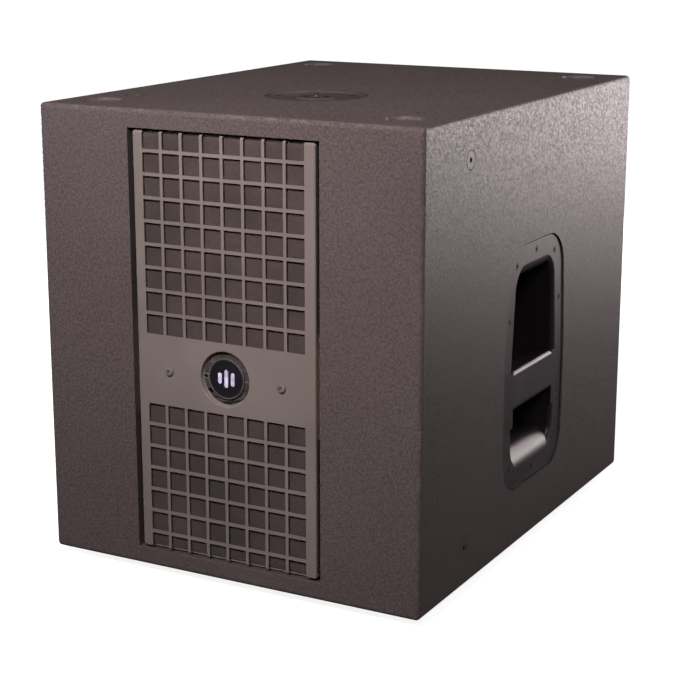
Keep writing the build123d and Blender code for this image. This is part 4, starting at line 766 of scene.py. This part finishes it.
# ------------------------------------------------------------------ camera
# solved from the corners, the grille slot and the handle
AZIMUTH, ELEVATION = radians(28.517), radians(14.249)
CAMERA_PLACE = (0.94417, -1.77714, 0.72725)
FOCAL_LENGTH, SENSOR_WIDTH = 90.8, 36.0


def place_camera():
    data = bpy.data.cameras.new("camera")
    data.lens = FOCAL_LENGTH
    data.sensor_width = SENSOR_WIDTH
    data.clip_start = 0.05
    data.clip_end = 100.0
    made = bpy.data.objects.new("camera", data)
    bpy.context.scene.collection.objects.link(made)
    made.location = CAMERA_PLACE
    back = Vector((sin(AZIMUTH) * cos(ELEVATION), -cos(AZIMUTH) * cos(ELEVATION), sin(ELEVATION)))
    made.rotation_mode = "QUATERNION"
    made.rotation_quaternion = (-back).to_track_quat("-Z", "Y")
    bpy.context.scene.camera = made


place_camera()


# ------------------------------------------------------------------ floor and light
FLOOR_LIT = (0.3, 0.3, 0.3, 1)
FLOOR_TO_OBJECT = (0.07, 0.065, 0.065, 1)
# glow at the first distance from the object's foot, in metres, and at the second and beyond
FLOOR_GLOW = {"From Min": 0.3, "From Max": 1.1, "To Min": 0.88, "To Max": 1.0}
FLOOR_REACH = 60.0
WHITE = (1, 1, 1, 1)
ROOM_COLOUR = (1.0, 0.9, 0.9, 1)
# strength of the room's light by the height of its direction
ROOM_RISE = {"From Min": 0.05, "From Max": 0.9, "To Min": 0.018, "To Max": 0.135}
WARM = (1.0, 0.88, 0.89)


def ramp(tree, source, limits):
    """Map range node fed by a socket; its output."""
    node = tree.nodes.new("ShaderNodeMapRange")
    for field, number in limits.items():
        node.inputs[field].default_value = number
    tree.links.new(source, node.inputs["Value"])
    return node.outputs[0]


def split_by_ray(tree, unseen, seen, output):
    """Send one shader to the output for what the camera sees, and another for all else."""
    choose = tree.nodes.new("ShaderNodeMixShader")
    path = tree.nodes.new("ShaderNodeLightPath")
    tree.links.new(path.outputs["Is Camera Ray"], choose.inputs[0])
    tree.links.new(unseen, choose.inputs[1])
    tree.links.new(seen, choose.inputs[2])
    tree.links.new(choose.outputs[0], output.inputs[0])


def stage_floor():
    """Large pale floor, brighter to the eye than in what it throws back on the object."""
    material = bpy.data.materials.new("floor")
    material.use_nodes = True
    tree = material.node_tree
    tree.nodes.clear()
    output = tree.nodes.new("ShaderNodeOutputMaterial")
    pale = tree.nodes.new("ShaderNodeBsdfDiffuse")
    pale.inputs[0].default_value = FLOOR_LIT
    glow = tree.nodes.new("ShaderNodeEmission")
    glow.inputs[0].default_value = WHITE
    place = tree.nodes.new("ShaderNodeTexCoord")
    reach = tree.nodes.new("ShaderNodeVectorMath")
    reach.operation = "LENGTH"
    tree.links.new(place.outputs["Object"], reach.inputs[0])
    tree.links.new(ramp(tree, reach.outputs["Value"], FLOOR_GLOW), glow.inputs[1])
    seen = tree.nodes.new("ShaderNodeAddShader")
    tree.links.new(pale.outputs[0], seen.inputs[0])
    tree.links.new(glow.outputs[0], seen.inputs[1])
    dim = tree.nodes.new("ShaderNodeBsdfDiffuse")
    dim.inputs[0].default_value = FLOOR_TO_OBJECT
    split_by_ray(tree, dim.outputs[0], seen.outputs[0], output)
    mesh = bpy.data.meshes.new("stage_floor")
    far = FLOOR_REACH
    mesh.from_pydata([(-far, -far, 0), (far, -far, 0), (far, far, 0), (-far, far, 0)], [], [(0, 1, 2, 3)])
    mesh.materials.append(material)
    made = bpy.data.objects.new("stage_floor", mesh)
    bpy.context.scene.collection.objects.link(made)


def studio_world():
    """White to the camera; to the object, a dim room that is lighter overhead."""
    world = bpy.data.worlds.new("studio")
    bpy.context.scene.world = world
    world.use_nodes = True
    tree = world.node_tree
    tree.nodes.clear()
    output = tree.nodes.new("ShaderNodeOutputWorld")
    backdrop = tree.nodes.new("ShaderNodeBackground")
    backdrop.inputs[0].default_value = WHITE
    backdrop.inputs[1].default_value = 1.0
    room = tree.nodes.new("ShaderNodeBackground")
    room.inputs[0].default_value = ROOM_COLOUR
    direction = tree.nodes.new("ShaderNodeTexCoord")
    parts = tree.nodes.new("ShaderNodeSeparateXYZ")
    tree.links.new(direction.outputs["Generated"], parts.inputs[0])
    tree.links.new(ramp(tree, parts.outputs["Z"], ROOM_RISE), room.inputs[1])
    split_by_ray(tree, room.outputs[0], backdrop.outputs[0], output)


def softbox(name, place, target, width, height, power, colour=(1, 1, 1), spread=180, mirrored=True):
    """Rectangular light turned to a target; power is in watts and spread in degrees."""
    light = bpy.data.lights.new(name, "AREA")
    light.shape = "RECTANGLE"
    light.size, light.size_y = width, height
    light.energy = power
    light.color = colour
    light.spread = radians(spread)
    made = bpy.data.objects.new(name, light)
    bpy.context.scene.collection.objects.link(made)
    made.location = place
    made.visible_glossy = mirrored
    made.rotation_mode = "QUATERNION"
    made.rotation_quaternion = (Vector(place) - Vector(target)).to_track_quat("Z", "Y")
    made.visible_camera = False


stage_floor()
# kept out of reflections, or the top face seen from behind turns white
softbox("front", (0.1, -1.64, 1.55), (0.02, -0.3, 0.72), 0.45, 0.5, 16, spread=62, mirrored=False)
softbox("front_right", (1.5, -2.1, 2.0), (0.0, -0.3, 0.3), 0.6, 0.6, 20)
softbox("front_left", (-1.9, -1.7, 0.8), (0.0, -0.2, 0.4), 1.0, 0.8, 4)
softbox("sheen", (1.0, 1.95, 0.72), (0.1, 0.0, 0.35), 1.3, 1.15, 22, WARM)
# these stay below the top face, so it reflects none of them
softbox("near_sheen", (1.0, 1.85, 0.27), (0.2, 0.0, 0.3), 1.3, 0.48, 1.2, WARM)
softbox("far_sheen", (1.35, 2.5, 0.27), (0.2, 0.0, 0.3), 1.7, 0.48, 3.4, WARM)
softbox("low_sheen", (0.85, 1.2, 0.2), (0.2, 0.0, 0.3), 0.7, 0.36, 0.9, WARM)
softbox("right", (2.2, 0.6, 0.27), (0.2, 0.0, 0.3), 1.2, 0.48, 3)
softbox("back", (-0.9, 1.9, 0.27), (0.0, 0.3, 0.27), 1.1, 0.44, 34)
softbox("back_left", (-1.9, 0.6, 0.27), (-0.2, 0.0, 0.27), 1.1, 0.44, 22)

studio_world()
bpy.context.scene.view_settings.view_transform = "Standard"
